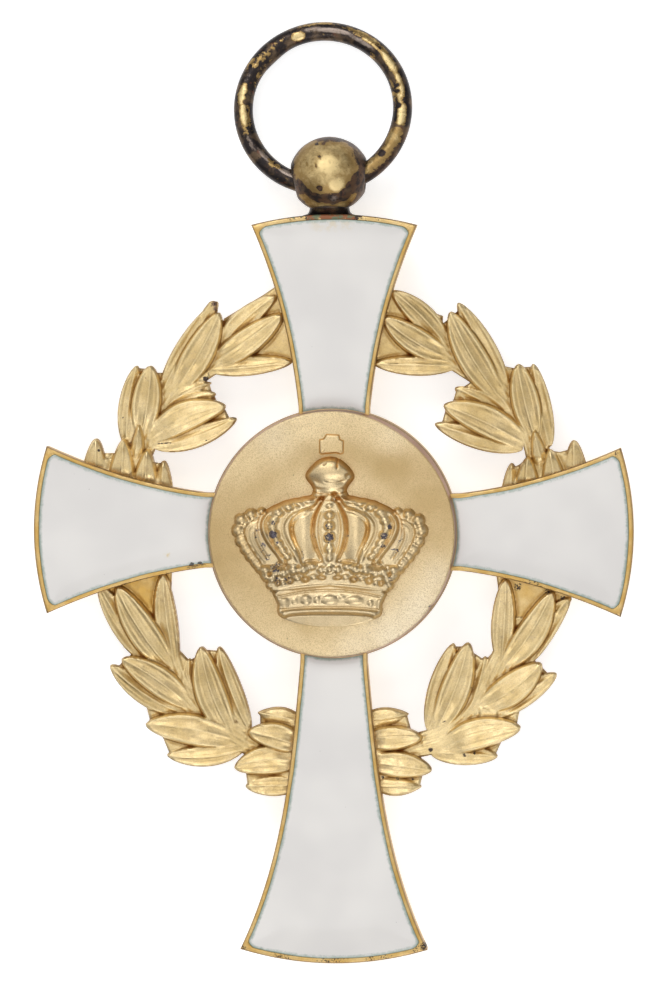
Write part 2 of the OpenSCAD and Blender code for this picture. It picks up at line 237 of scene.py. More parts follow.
def hue(red, green, blue):
    # a colour given as it looks on the screen, 0 to 255
    parts = [c / 255 for c in (red, green, blue)]
    return tuple(c / 12.92 if c < 0.04045 else ((c + 0.055) / 1.055) ** 2.4 for c in parts) + (1,)


# Each finish has its colours and its clouds: colour, size in millimetres, detail, roughness and seed
# of the grain, the two levels of it between which the cloud grows, and its share at each of them
giltLook = {
    "bright": hue(243, 219, 167),
    "soft": hue(222, 196, 141),
    # colours of painted shade in hollows, with some toning: brown, which also darkens a fine grain, and deep
    # orange
    "hollowShadeAndGrain": hue(156, 122, 76),
    "deepHollowShade": hue(162, 106, 40),
    "rim": hue(206, 166, 92),
    "mauve": hue(188, 164, 138),
    "rust": hue(148, 92, 58),
    "green": hue(108, 118, 90),
    "dirt": hue(66, 52, 46),
    # painted shade along outlines and side walls, and the dark broken tip
    "edgeShadeAndBreak": hue(146, 120, 100),
    # olive toning, deeper as painted shade in hollows
    "olive": hue(166, 130, 58),
    # paler gold of wear with painted highlight on raised ridges
    "wearAndHighlight": hue(255, 236, 186),
    "clouds": [
        ("bright", 2.6, 5, 0.55, 0, 0.35, 0.66, 0.0, 1.0),
        ("hollowShadeAndGrain", 0.13, 2, 0.7, 16, 0.30, 0.60, 0.24, 0.0),
        ("mauve", 0.42, 4, 0.7, 21, 0.52, 0.66, 0.0, 0.30),
    ],
    "roughness": (0.35, 0.50),
    "streaks": 0.30,
    "streakDepth": 0.0045,
    "fineDepth": 0.024,
    "dentDepth": 0.035,
}


def makeGilt():
    look = giltLook
    f = Finish("wornGilding")
    hollowShadeAndTone, across = f.painted("hollowShadeAndTone"), f.painted("across")
    fine = f.grain(0.16, seed=3)
    base = f.clouded(look["soft"], look)
    # olive toning, deepened as painted shade in hollows and lightened on ridges
    base = f.blend(f.painted("tonedAndShaded"), base, look["olive"])
    # paler raised ridges: wear with painted highlight
    base = f.blend(f.painted("ridgeWearAndHighlight"), base, look["wearAndHighlight"])
    rimCloud = f.spread(f.grain(1.6, detail=4, seed=31), 0.3, 0.7, 0.45, 0.95)
    base = f.blend(f.sums("MULTIPLY", f.painted("rim"), rimCloud), base, look["rim"])
    # painted shade in hollows and along the steps between forms, with some toning; deepest orange in the
    # deepest
    hollowShadeShare = f.spread(f.frayed(hollowShadeAndTone, fine, 0.35), 0.30, 0.85)
    base = f.blend(f.sums("MULTIPLY", hollowShadeShare, 0.85), base, look["hollowShadeAndGrain"])
    base = f.blend(f.spread(hollowShadeAndTone, 0.72, 1.02, 0.0, 0.75), base, look["deepHollowShade"])
    # painted shade along outlines and side walls, and the dark broken tip
    base = f.blend(f.sums("MULTIPLY", f.painted("edgeShadeAndBreak"), 0.85), base, look["edgeShadeAndBreak"])
    crust = f.blend(f.spread(f.grain(0.45, detail=4, seed=23), 0.46, 0.56), look["rust"], look["green"])
    crusted = f.spread(f.frayed(f.painted("patina"), f.grain(0.5, detail=5, seed=24), 1.8), 0.40, 0.62)
    # dirt, and painted shade where the wreath meets the arms
    dirtAndShadeShare = f.spread(f.frayed(f.painted("dirtAndShade"), fine, 1.3), 0.42, 0.62)
    f.put("Base Color", f.blend(dirtAndShadeShare, f.blend(crusted, base, crust), look["dirt"]))
    bare = f.spread(crusted, 0.0, 1.0, 1.0, 0.3)
    f.put("Metallic", f.sums("MULTIPLY", bare, f.spread(dirtAndShadeShare, 0.0, 1.0, 1.0, 0.15)))
    sheen = f.spread(f.grain(0.7, seed=5), 0.3, 0.7, *look["roughness"])
    f.put("Roughness", f.sums("MULTIPLY_ADD", dirtAndShadeShare, 0.3, sheen))
    # fine lines along the leaves
    phase = f.sums("DIVIDE", across, look["streaks"] / 6.28)
    line = f.sums("SINE", f.sums("MULTIPLY_ADD", f.grain(3.5, seed=7), 14.0, phase))
    near = f.spread(f.sums("ABSOLUTE", across), 0.7, 1.4, 1.0, 0.0)
    near = f.sums("MULTIPLY", near, f.spread(f.grain(1.4, seed=15), 0.3, 0.7))
    dents = f.bump(f.grain(0.55, seed=9), look["dentDepth"])
    streaked = f.bump(f.sums("MULTIPLY", line, near), look["streakDepth"], dents)
    f.put("Normal", f.bump(fine, look["fineDepth"], streaked))
    return f.material


discLook = {
    "light": hue(250, 227, 182),
    "dull": hue(238, 214, 168),
    # painted brown shade in hollows and round the crown
    "halo": hue(186, 140, 82),
    "grain": hue(186, 160, 114),
    "grey": hue(104, 97, 104),
    "speck": hue(40, 34, 36),
    # painted shade on the disc's side wall
    "edgeShadeAndBreak": hue(186, 150, 134),
    "bloom": hue(172, 158, 132),
    # painted highlight on the dish
    "paintedHighlight": hue(255, 243, 218),
    # toning of the dish, with painted shade
    "tonedAndShaded": hue(192, 162, 110),
    "clouds": [("light", 5.5, 2, 0.55, 1, 0.36, 0.64, 0.0, 1.0)],
}


def makeMattGilding(name, roughness, sandDepth):
    look = discLook
    f = Finish(name)
    sand = f.grain(0.12, detail=2, rough=0.7, seed=2)
    base = f.clouded(look["dull"], look)
    # toning of the gilding with painted shade of the dish
    tone = f.frayed(f.painted("tone"), f.grain(2.4, seed=14), 0.22)
    base = f.blend(f.spread(tone, 0.05, 0.95), base, look["tonedAndShaded"])
    # painted highlight on the dish
    base = f.blend(f.painted("paintedHighlight"), base, look["paintedHighlight"])
    base = f.blend(f.spread(sand, 0.30, 0.60, 0.62, 0.0), base, look["grain"])
    base = f.blend(f.spread(f.spots(1.5, seed=4), 0.026, 0.050, 0.60, 0.0), base, look["speck"])
    base = f.blend(f.painted("bloom"), base, look["bloom"])
    # painted brown shade in hollows and along the crown's walls, with some toning
    shade = f.spread(f.painted("hollowShadeAndTone"), 0.30, 1.2, 0.0, 0.45)
    tint = f.sums("ADD", shade, f.spread(f.painted("halo"), 0.12, 0.85), clamp=True)
    base = f.blend(tint, base, look["halo"])
    # painted shade on the side wall
    base = f.blend(f.sums("MULTIPLY", f.painted("edgeShadeAndBreak"), 0.9), base, look["edgeShadeAndBreak"])
    dirtAndShadeShare = f.spread(f.frayed(f.painted("dirtAndShade"), f.grain(0.24, detail=4, seed=4), 1.7), 0.45, 0.62)
    specks = f.blend(f.spread(f.grain(0.10, detail=2, seed=11), 0.50, 0.60), look["grey"], look["speck"])
    f.put("Base Color", f.blend(dirtAndShadeShare, base, specks))
    f.put("Metallic", f.spread(dirtAndShadeShare, 0.0, 1.0, 1.0, 0.4))
    f.put("Roughness", f.spread(f.grain(1.3, seed=12), 0.3, 0.7, roughness + 0.04, roughness - 0.04))
    f.put("Normal", f.bump(sand, sandDepth, f.bump(f.grain(0.8, seed=6), 0.02)))
    return f.material


enamelLook = {
    "white": hue(236, 233, 229),
    "cool": hue(226, 223, 220),
    "verdigris": hue(122, 152, 138),
    "line": hue(128, 122, 92),
    "stain": hue(222, 194, 122),
    "speck": hue(60, 56, 50),
    "clouds": [("white", 9, 2, 0.55, 1, 0.3, 0.7, 0.0, 1.0)],
    "roughness": (0.09, 0.14),
}


def makeEnamel():
    look = enamelLook
    f = Finish("whiteEnamel")
    border = f.painted("border")
    base = f.clouded(look["cool"], look)
    stained = f.sums("MULTIPLY", f.painted("stained"), f.spread(f.grain(0.5, detail=4, seed=6), 0.36, 0.60))
    base = f.blend(stained, base, look["stain"])
    reach = f.frayed(border, f.grain(0.55, detail=5, rough=0.7), 0.55)
    base = f.blend(f.spread(reach, 0.0, 0.40, 0.80, 0.0), base, look["verdigris"])
    base = f.blend(f.spread(border, 0.0, 0.055, 0.8, 0.0), base, look["line"])
    pits = f.spread(f.spots(1.9, seed=2), 0.012, 0.026, 0.6, 0.0)
    dirtAndShadeShare = f.spread(f.frayed(f.painted("dirtAndShade"), f.grain(0.3, seed=7), 1.5), 0.45, 0.6)
    f.put("Base Color", f.blend(f.sums("MAXIMUM", pits, dirtAndShadeShare), base, look["speck"]))
    f.put("Roughness", f.spread(f.grain(2.2, seed=3), 0.3, 0.7, *look["roughness"]))
    f.put("Normal", f.bump(f.grain(3.0, detail=1, seed=4), 0.015))
    return f.material


tarnishLook = {
    "brass": hue(226, 202, 148),
    "amber": hue(160, 132, 84),
    "brown": hue(100, 82, 64),
    "black": hue(44, 38, 38),
    # painted grey sheen on the dark tarnish
    "sheen": hue(164, 148, 136),
    "red": hue(112, 68, 50),
    "umber": hue(104, 76, 54),
    "clouds": [
        ("brown", 1.3, 4, 0.55, 2, 0.46, 0.66, 0.0, 1.0),
        ("red", 0.8, 5, 0.55, 17, 0.60, 0.70, 0.0, 0.55),
    ],
}


def makeTarnish():
    look = tarnishLook
    f = Finish("tarnishedGilding")
    calm = f.painted("calm")
    patch = f.grain(0.62, detail=8, rough=0.68, warp=0.4, seed=1)
    streak = f.grain(0.34, detail=5, rough=0.7, seed=5)
    dark = f.clouded(look["black"], look)
    # painted grey sheen on the dark tarnish
    dark = f.blend(f.spread(f.frayed(f.painted("paintedSheen"), streak, 0.9), 0.3, 0.8), dark, look["sheen"])
    warm = f.spread(f.grain(0.7, detail=5, seed=27), 0.40, 0.62, 0.05, 0.75)
    dark = f.blend(f.sums("MULTIPLY", calm, warm), dark, look["umber"])
    # worn brass; on the ball also painted highlights and painted shade at its edges
    bared = f.frayed(f.painted("wearAndHighlight"), patch, f.sums("MULTIPLY_ADD", calm, -1.15, 1.95))
    amber = f.spread(bared, 0.18, 0.32)
    brass = f.spread(bared, 0.40, 0.86)
    base = f.blend(brass, f.blend(amber, dark, look["amber"]), look["brass"])
    base = f.blend(f.spread(streak, 0.56, 0.72, 0.0, 0.45), base, look["brown"])
    pits = f.spread(f.spots(0.55, seed=3), 0.05, 0.11, 0.85, 0.0)
    pitted = f.sums("MULTIPLY", pits, f.spread(f.grain(1.2, seed=13), 0.5, 0.6))
    f.put("Base Color", f.blend(pitted, base, look["black"]))
    f.put("Metallic", f.spread(amber, 0.0, 1.0, 0.75, 1.0))
    f.put("Roughness", f.sums("MULTIPLY_ADD", calm, 0.10, f.spread(streak, 0.3, 0.7, 0.26, 0.42)))
    f.put("Normal", f.bump(patch, 0.05, f.bump(f.grain(0.13, seed=8), 0.012)))
    return f.material


# Mesh helpers
def makePiece(name, points, faces, material, body, nodes, sharpAngle, paint):
    # points in millimetres; paint holds values for each point by name
    mesh = bpy.data.meshes.new(name)
    mesh.from_pydata([tuple(c * mm for c in p) for p in points], [], faces)
    mesh.update()
    cleaner = bmesh.new()
    cleaner.from_mesh(mesh)
    bmesh.ops.recalc_face_normals(cleaner, faces=cleaner.faces)
    cleaner.to_mesh(mesh)
    cleaner.free()
    mesh.polygons.foreach_set("use_smooth", [True] * len(mesh.polygons))
    mesh.set_sharp_from_angle(angle=math.radians(sharpAngle))
    for key, values in paint.items():
        layer = mesh.attributes.new(key, "FLOAT", "POINT")
        layer.data.foreach_set("value", np.asarray(values, dtype=np.float32))
    mesh.materials.append(material)
    piece = bpy.data.objects.new(name, mesh)
    scene.collection.objects.link(piece)
    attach(piece, body)
    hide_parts(*nodes)


def ringFaces(rows, count, closed=False):
    # quads between rows of a surface whose rows are loops of count points
    last = rows if closed else rows - 1
    return [(r * count + c, r * count + (c + 1) % count, (r + 1) % rows * count + (c + 1) % count,
             (r + 1) % rows * count + c) for r in range(last) for c in range(count)]


def cappedFaces(rows, count):
    # the same with a flat cap on the first and the last row
    return ringFaces(rows, count) + [tuple(range(count)), tuple(range((rows - 1) * count, rows * count))]


def gridFaces(rows, columns, first=0, flip=False):
    # quads of a surface whose rows are open lines of points
    starts = [first + r * columns + c for r in range(rows - 1) for c in range(columns - 1)]
    quads = [(a, a + 1, a + columns + 1, a + columns) for a in starts]
    return [quad[::-1] for quad in quads] if flip else quads


def wallFaces(upper, lower):
    # quads between two closed lines of points
    ends = zip(upper, upper[1:] + upper[:1], lower[1:] + lower[:1], lower)
    return [tuple(quad) for quad in ends]


def flatPlaces(points):
    return np.array([(p[0], p[1]) for p in points], dtype=float).T


def toSegment(x, y, a, b):
    # share of a line's length at the place nearest to each point, and the distance to it
    dx, dy = b[0] - a[0], b[1] - a[1]
    share = np.clip(((x - a[0]) * dx + (y - a[1]) * dy) / max(dx * dx + dy * dy, 1e-9), 0, 1)
    return share, np.hypot(x - a[0] - share * dx, y - a[1] - share * dy)


def loopDistance(x, y, loop):
    # distance from each point to a closed line
    ends = zip(loop, [*loop[1:], loop[0]])
    return np.min([toSegment(x, y, a, b)[1] for a, b in ends], axis=0)


def aroundAxis(count):
    return [2 * math.pi * i / count for i in range(count)]


def smoothStep(x):
    x = np.clip(x, 0, 1)
    return x * x * (3 - 2 * x)


def wander(x, y, size, seed=0.0):
    # smooth unevenness between -1 and 1 with waves about size millimetres long
    return noise.noise(Vector((x / size + seed * 7.3, y / size - seed * 3.1, seed)))


def softPatches(points, patches, hazy=False):
    # strength of soft round patches at each point; rows of x, y, radius, strength
    px, py = flatPlaces(points)
    total = np.zeros(len(points))
    for x, y, radius, strength in patches:
        away = np.hypot(px - x, py - y) / radius
        if hazy:
            total += strength * np.exp(-away ** 2)
        else:
            total = np.maximum(total, strength * smoothStep(1.5 - away))
    return np.minimum(total, 1) if hazy else total


# Arms with their rims and enamel
armShapes = {
    "top": dict(turn=90, shift=-0.15, tips=31.0, crest=32.05, tipHalf=8.30, waistHalf=3.55, bend=2.2),
    "left": dict(turn=180, shift=-0.45, tips=28.7, crest=30.0, tipHalf=8.40, waistHalf=3.75, bend=2.0),
    "right": dict(turn=0, shift=0.30, tips=28.8, crest=30.1, tipHalf=8.45, waistHalf=3.85, bend=2.0),
    "bottom": dict(turn=270, shift=0.12, tips=41.6, crest=43.0, tipHalf=9.40, waistHalf=3.35, bend=3.2),
}
armLook = {
    "waistAt": 12.7,
    "straightShare": 0.42,
    "rim": 0.42,
    "endRim": 0.50,
    "corner": 0.95,
    "bevel": 0.14,
    "sideFoot": 0.16,
    "rimWave": 0.012,
    "wobble": 0.035,
    "startRadius": 7.0,
    "footRadius": 12.47,
    "cellUnderDisc": 1.2,
    "rowsAlong": 84,
    "rowsAcross": 40,
}
# The rim from the cell outwards: share of the way from the arm's edge to the cell, drop from its crest
rimProfile = [(1.0, 0.07), (0.94, 0.035), (0.75, 0.02), (0.5, 0.012), (0.28, 0.03), (0.14, 0.07), (0.0, 0.18)]
# The end of the top arm gives way where the ring folds over it and behind it
ringRoom = {
    "from": 30.6,
    "over": 0.6,
    "crestDrop": 0.10,
    "footRise": 0.42,
    "backInset": 0.58,
}
enamelSizes = {
    "gap": 0.012,
    "backGap": 0.03,
    "dome": 0.20,
    "domeReach": 3.2,
    "lip": 0.075,
    "lipReach": 0.10,
    "drop": 0.085,
    "wave": 0.010,
}
# Dirt and stains on the rims and the enamel: place, radius, strength
rimDirt = {
    "top": [(-4.3, 31.6, 0.35, 0.55), (4.4, 31.6, 0.3, 0.55), (-2.7, 31.6, 0.3, 0.6), (2.4, 31.7, 0.35, 0.75),
            (3.2, 31.6, 0.3, 0.6), (1.2, 31.2, 0.3, 0.5)],
    "left": [(-14.1, -3.1, 0.35, 0.9), (-13.2, -2.9, 0.3, 0.9), (-28.0, -7.9, 0.3, 0.6),
             (-22.0, -5.6, 0.5, 0.44)],
    "right": [(20.0, -5.0, 1.2, 0.45), (28.3, -8.0, 0.4, 0.45), (28.4, 8.2, 0.3, 0.5)],
    "bottom": [(9.1, -41.2, 0.45, 0.62), (8.3, -41.5, 0.5, 0.45), (-5.0, -42.2, 1.6, 0.40),
               (0.0, -42.7, 2.0, 0.44), (4.6, -42.4, 1.6, 0.41), (-8.9, -41.4, 0.3, 0.5)],
}
topPatina = [(-2.0, 31.7, 0.8, 0.7), (-0.8, 31.6, 0.9, 0.75), (0.5, 31.6, 0.9, 0.8), (1.8, 31.5, 0.9, 0.7),
             (-3.6, 31.6, 0.5, 0.35)]
enamelDirt = [(-14.15, -3.0, 0.26, 0.9), (-13.3, -2.85, 0.24, 0.9)]
enamelStains = [(-1.6, 31.1, 0.6, 0.20), (-0.2, 31.25, 0.8, 0.30), (1.4, 31.2, 0.7, 0.22),
                (-1.3, 30.5, 0.2, 0.2), (-16.6, -2.0, 0.22, 1.0)]


def armHalf(arm, at):
    share = np.clip((at - armLook["waistAt"]) / (arm["tips"] - armLook["waistAt"]), 0, 1.2)
    flare = armLook["straightShare"] * share + (1 - armLook["straightShare"]) * share ** arm["bend"]
    return arm["waistHalf"] + (arm["tipHalf"] - arm["waistHalf"]) * flare


def armEnd(arm, across):
    u = across / arm["tipHalf"]
    return arm["tips"] + (arm["crest"] - arm["tips"]) * (1 - u * u)


def placeOnArm(arm, at, across):
    turn = math.radians(arm["turn"])
    y = across + arm["shift"]
    return at * math.cos(turn) - y * math.sin(turn), at * math.sin(turn) + y * math.cos(turn)


def clustered(count, fineShare, fineCount, bothEnds):
    # numbers from 0 to 1 with fineCount steps in the last fineShare, and in the first too if bothEnds
    tail = [1 - fineShare * (1 - i / fineCount) for i in range(fineCount + 1)]
    head = [1 - t for t in reversed(tail)] if bothEnds else [0.0]
    inner = np.linspace(head[-1], tail[0], count - len(head) - len(tail) + 3)[1:-1]
    return list(head) + list(inner) + tail


def armGrid(arm, inset, endInset, corner, startRadius):
    # points of an arm's face in rows from the disc to the arm's end, each row from side to side
    along = clustered(armLook["rowsAlong"], 0.06, 14, False)
    sideways = clustered(armLook["rowsAcross"], 0.13, 9, True)
    turn = math.radians(arm["turn"])
    centreAt = discCentre[0] * math.cos(turn) + discCentre[1] * math.sin(turn)
    centreAcross = -discCentre[0] * math.sin(turn) + discCentre[1] * math.cos(turn) - arm["shift"]
    grid = []
    for share in along:
        row = []
        for side in sideways:
            v = 2 * side - 1
            across = v * (armHalf(arm, 20.0) - inset)
            for _ in range(7):
                start = centreAt + math.sqrt(max(startRadius ** 2 - (across - centreAcross) ** 2, 0.0))
                end = armEnd(arm, across) - endInset
                at = start + (end - start) * share
                slope = (armHalf(arm, at + 0.05) - armHalf(arm, at - 0.05)) / 0.1
                across = v * (armHalf(arm, at) - inset * math.sqrt(1 + slope * slope))
            if corner > 0:
                half = float(armHalf(arm, at) - inset * math.sqrt(1 + slope * slope))
                fromSide, fromEnd = half - abs(across), end - at
                p, q = max(1 - fromSide / corner, 0), max(1 - fromEnd / corner, 0)
                if p > 0 and q > 0:
                    across -= math.copysign(corner * p * (1 - math.sqrt(1 - q * q / 2)), v)
                    at -= corner * q * (1 - math.sqrt(1 - p * p / 2))
            row.append((at, across))
        grid.append(row)
    return np.array(grid)


def borderOrder(rows, columns):
    side = [(r, 0) for r in range(rows)] + [(rows - 1, c) for c in range(1, columns)]
    side += [(r, columns - 1) for r in range(rows - 2, -1, -1)]
    return side + [(0, c) for c in range(columns - 2, 0, -1)]


def shaken(arm, grid):
    # the hand-filed edge of the cell: small moves that depend on the place alone
    moved = grid.copy()
    for r in range(grid.shape[0]):
        for c in range(grid.shape[1]):
            at, across = grid[r, c]
            moved[r, c, 0] += armLook["wobble"] * wander(at, across, 2.3, arm["turn"] / 90 + 1)
            moved[r, c, 1] += armLook["wobble"] * wander(at, across, 2.9, arm["turn"] / 90 + 5)
    return moved


def buildArm(name, arm, gilt, enamel):
    look, room = armLook, ringRoom
    outer = armGrid(arm, 0.0, 0.0, 0.0, look["startRadius"])
    cellStart = look["footRadius"] - look["cellUnderDisc"]
    cell = shaken(arm, armGrid(arm, look["rim"], look["endRim"], look["corner"], cellStart))
    backInset = room["backInset"] if name == "top" else look["bevel"]
    under = armGrid(arm, look["bevel"], backInset, 0.0, look["startRadius"])
    rows, columns = outer.shape[:2]
    order = borderOrder(rows, columns)
    points, faces = [], []

    def addGrid(grid, z, flip):
        first = len(points)
        points.extend((*placeOnArm(arm, *spot), z) for spot in grid.reshape(-1, 2))
        faces.extend(gridFaces(rows, columns, first, flip))
        return [first + r * columns + c for r, c in order]

    def addLoop(share, z, wave, bend):
        first = len(points)
        for r, c in order:
            x, y = placeOnArm(arm, *(cell[r, c] * share + outer[r, c] * (1 - share)))
            nearRing = float(smoothStep((y - room["from"]) / room["over"]))
            points.append((x, y, z + bend * nearRing + wave * wander(x, y, 1.7, 3)))
        return list(range(first, first + len(order)))

    loops = [addGrid(cell, levels["cellFloor"], False)]
    for share, drop in rimProfile:
        loops.append(addLoop(share, levels["rimTop"] - drop, look["rimWave"], -room["crestDrop"]))
    edge = set(loops[-1]) | set(loops[-2])
    loops.append(addLoop(0.0, levels["armBack"] + look["sideFoot"], 0.0, room["footRise"]))
    loops.append(addGrid(under, levels["armBack"], True))
    for upper, lower in zip(loops, loops[1:]):
        faces.extend(wallFaces(upper, lower))
    _, y, z = np.array(points).T
    # painted shade on the lower walls, and along the rim's outer edge
    paint = {
        "hollowShadeAndTone": np.where(z < 4.8, 0.35, 0.0),
        "dirtAndShade": softPatches(points, rimDirt[name]),
        "patina": softPatches(points, topPatina),
        "rim": np.where(z > 4.7, 1.0, 0.3) * (1 - 0.5 * smoothStep((y - 30.4) / 0.8)),
        "edgeShadeAndBreak": [0.85 * (i in edge) for i in range(len(points))],
    }
    makePiece("arm_" + name, points, faces, gilt, "badge", ["cross_frame"], 30, paint)

    # enamel: a flat back, a short wall and a face that swells from its border
    size = enamelSizes
    inset, endInset = look["rim"] + size["gap"], look["endRim"] + size["gap"]
    face = shaken(arm, armGrid(arm, inset, endInset, look["corner"], look["footRadius"])).reshape(-1, 2)
    border = [r * columns + c for r, c in order]
    away = loopDistance(*face.T, face[border])
    rise = size["dome"] * (1 - (1 - np.clip(away / size["domeReach"], 0, 1)) ** 2)
    rise += size["lip"] * (1 - np.exp(-away / size["lipReach"]))
    points = []
    for spot, lift in zip(face, rise):
        x, y = placeOnArm(arm, *spot)
        points.append((x, y, levels["rimTop"] - size["drop"] + lift + size["wave"] * wander(x, y, 4.5, 8)))
    low = list(range(len(points), len(points) + len(border)))
    points += [(points[i][0], points[i][1], levels["cellFloor"] + size["backGap"]) for i in border]
    faces = gridFaces(rows, columns) + wallFaces(border, low) + [tuple(reversed(low))]
    paint = {
        "border": np.concatenate([away, np.zeros(len(low))]),
        "dirtAndShade": softPatches(points, enamelDirt),
        "stained": softPatches(points, enamelStains),
    }
    makePiece("enamel_panel_" + name, points, faces, enamel, "badge", ["enamel_" + name],
              50, paint)


# Struck relief on a square grid
class Relief:
    # heights in millimetres over the middle of the casting, and depth inside its outline

    def __init__(self, left, bottom, right, top, step, ground):
        self.step = step
        self.xs = np.arange(left, right + step, step)
        self.ys = np.arange(bottom, top + step, step)
        self.x, self.y = np.meshgrid(self.xs, self.ys)
        self.height = np.full(self.x.shape, float(ground))
        self.inside = np.full(self.x.shape, -9.0)
        # painted brown shade along steps and cut lines, with some toning
        self.stain = np.zeros(self.x.shape)
        self.across = np.full(self.x.shape, 9.0)

    def window(self, points, margin):
        px, py = [p[0] for p in points], [p[1] for p in points]
        c0, c1 = np.searchsorted(self.xs, (min(px) - margin, max(px) + margin))
        r0, r1 = np.searchsorted(self.ys, (min(py) - margin, max(py) + margin))
        return slice(r0, max(r1, r0 + 1)), slice(c0, max(c1, c0 + 1))

    def toLine(self, points, margin, closed=False):
        # distance to a line and the share of its length at the nearest place, in a window round it
        box = self.window(points, margin)
        x, y = self.x[box], self.y[box]
        best, share = np.full(x.shape, 99.0), np.zeros(x.shape)
        ends = list(zip(points, points[1:] + (points[:1] if closed else [])))
        lengths = np.cumsum([0] + [math.dist(a, b) for a, b in ends])
        for (a, b), gone in zip(ends, lengths):
            t, away = toSegment(x, y, a, b)
            nearer = away < best
            best[nearer] = away[nearer]
            share[nearer] = ((gone + t * math.dist(a, b)) / lengths[-1])[nearer]
        return box, best, share

    def toShape(self, points, margin):
        # depth inside a closed shape, negative outside
        box, away, _ = self.toLine(points, margin, closed=True)
        x, y = self.x[box], self.y[box]
        within = np.zeros(x.shape, bool)
        for (ax, ay), (bx, by) in zip(points, points[1:] + points[:1]):
            if ay != by:
                crosses = ((ay > y) != (by > y)) & (x < (bx - ax) * (y - ay) / (by - ay) + ax)
                within ^= crosses
        return box, np.where(within, away, -away)

    def raiseRidge(self, points, half, rise, ends=0.12, tint=0.0):
        box, away, share = self.toLine(points, half)
        taper = smoothStep(share / ends) * smoothStep((1 - share) / ends) if ends else 1.0
        self.stain[box] = np.maximum(self.stain[box], tint * np.exp(-(away / half / 0.62) ** 4) * taper)
        self.height[box] += rise * np.clip(1 - (away / half) ** 2, 0, 1) ** 1.5 * taper

    def raiseMarks(self, marks):
        # cut lines: half width, rise, fade at the ends, how much painted brown shade, steps of the curve,
        # points
        for half, rise, ends, tint, steps, points in marks:
            self.raiseRidge(smoothLine(points, steps), half, rise, ends, tint)

    def raiseBead(self, x, y, radius, rise):
        box = self.window([(x, y)], radius * 1.3)
        away = np.hypot(self.x[box] - x, self.y[box] - y) / radius
        self.height[box] += rise * np.clip(1 - away ** 2.4, 0, 1) ** 0.7

    def raiseLens(self, x, y, rx, ry, rise, turn=0.0, power=1.0):
        box = self.window([(x - rx, y - ry), (x + rx, y + ry), (x - ry, y - rx), (x + ry, y + rx)], 0.3)
        c, s = math.cos(math.radians(turn)), math.sin(math.radians(turn))
        u = ((self.x[box] - x) * c + (self.y[box] - y) * s) / rx
        v = (-(self.x[box] - x) * s + (self.y[box] - y) * c) / ry
        self.height[box] += rise * np.clip(1 - u * u - v * v, 0, 1) ** power

    def merge(self, box, height, depth, blend=0.05, weight=1.0, across=9.0, side=0.07, sink=0.0):
        # keeps the higher of what is there and a new form, with a soft join and painted brown shade along it,
        # with some toning, kept as stain; what lies beside the new form can sink a little
        old = self.height[box] - sink * np.exp(-(np.maximum(-depth, 0) / 0.34) ** 2)
        near = np.clip(1 - np.abs(old - height) / blend, 0, 1)
        # painted shade: brown down the new form's edge, and on the lower surface beside it
        wall = 0.65 * np.exp(-(np.maximum(depth, 0) / side) ** 4)
        shade = 0.9 * np.exp(-(np.maximum(-depth - 0.03, 0) / 0.15) ** 2) * (depth < 0)
        self.stain[box] = np.where(height > old, wall * weight, np.maximum(self.stain[box], shade * weight))
        self.across[box] = np.where(height > old, across, self.across[box])
        self.height[box] = np.maximum(old, height) + blend * near * near / 4
        self.inside[box] = np.maximum(self.inside[box], depth)

    def raiseForm(self, points, top, wall, tint, foot=0.04):
        # a plate with steep rounded sides, kept where it is the higher
        box, depth = self.toShape(points, 0.3)
        side = np.clip(depth / wall, 0, 1)
        height = foot + (top - foot) * (0.5 * (1 - (1 - side) ** 2) + 0.5 * smoothStep(side))
        self.merge(box, np.where(depth > 0, height, -9.0), depth, 0.12, tint, side=0.75 * wall)

    def raisePearl(self, x, y, radius, top, foot=0.04):
        box = self.window([(x, y)], radius + 0.1)
        away = np.hypot(self.x[box] - x, self.y[box] - y)
        height = foot + (top - foot) * np.clip(1 - (away / radius) ** 2, 0, 1) ** 0.7
        self.merge(box, np.where(away < radius, height, -9.0), radius - away, 0.12, 0.22, side=0.16)

    def blurred(self, field, rounds):
        mask = (self.inside > -self.step).astype(float)
        value = field * mask
        for _ in range(rounds):
            for axis in (0, 1):
                value = (np.roll(value, 1, axis) + value + np.roll(value, -1, axis)) / 3
                mask = (np.roll(mask, 1, axis) + mask + np.roll(mask, -1, axis)) / 3
        return value / np.maximum(mask, 1e-3)

    def solid(self, base, back, plainBack=False):
        # mesh of the relief cut at its outline: points, faces, and the grid cell of each point
        least = 0.12 * self.step  # no grid point counts as nearer to the outline than this
        depth = np.where(np.abs(self.inside) < least, np.where(self.inside < 0, -least, least), self.inside)
        within = depth > 0
        numbers = np.full(within.shape, -1)
        numbers[within] = np.arange(within.sum())
        rows, columns = np.nonzero(within)
        points = [(self.xs[c], self.ys[r], base + self.height[r, c]) for r, c in zip(rows, columns)]
        cells = list(zip(rows, columns))
        faces = []
        crossing = {}

        def cut(r0, c0, r1, c1):
            key = (r0, c0, r1, c1) if (r0, c0) < (r1, c1) else (r1, c1, r0, c0)
            if key not in crossing:
                a, b = depth[key[0], key[1]], depth[key[2], key[3]]
                t = a / (a - b)
                x = self.xs[key[1]] * (1 - t) + self.xs[key[3]] * t
                y = self.ys[key[0]] * (1 - t) + self.ys[key[2]] * t
                inner = (key[0], key[1]) if a > 0 else (key[2], key[3])
                crossing[key] = len(points)
                points.append((x, y, base + self.height[inner]))
                cells.append(inner)
            return crossing[key]

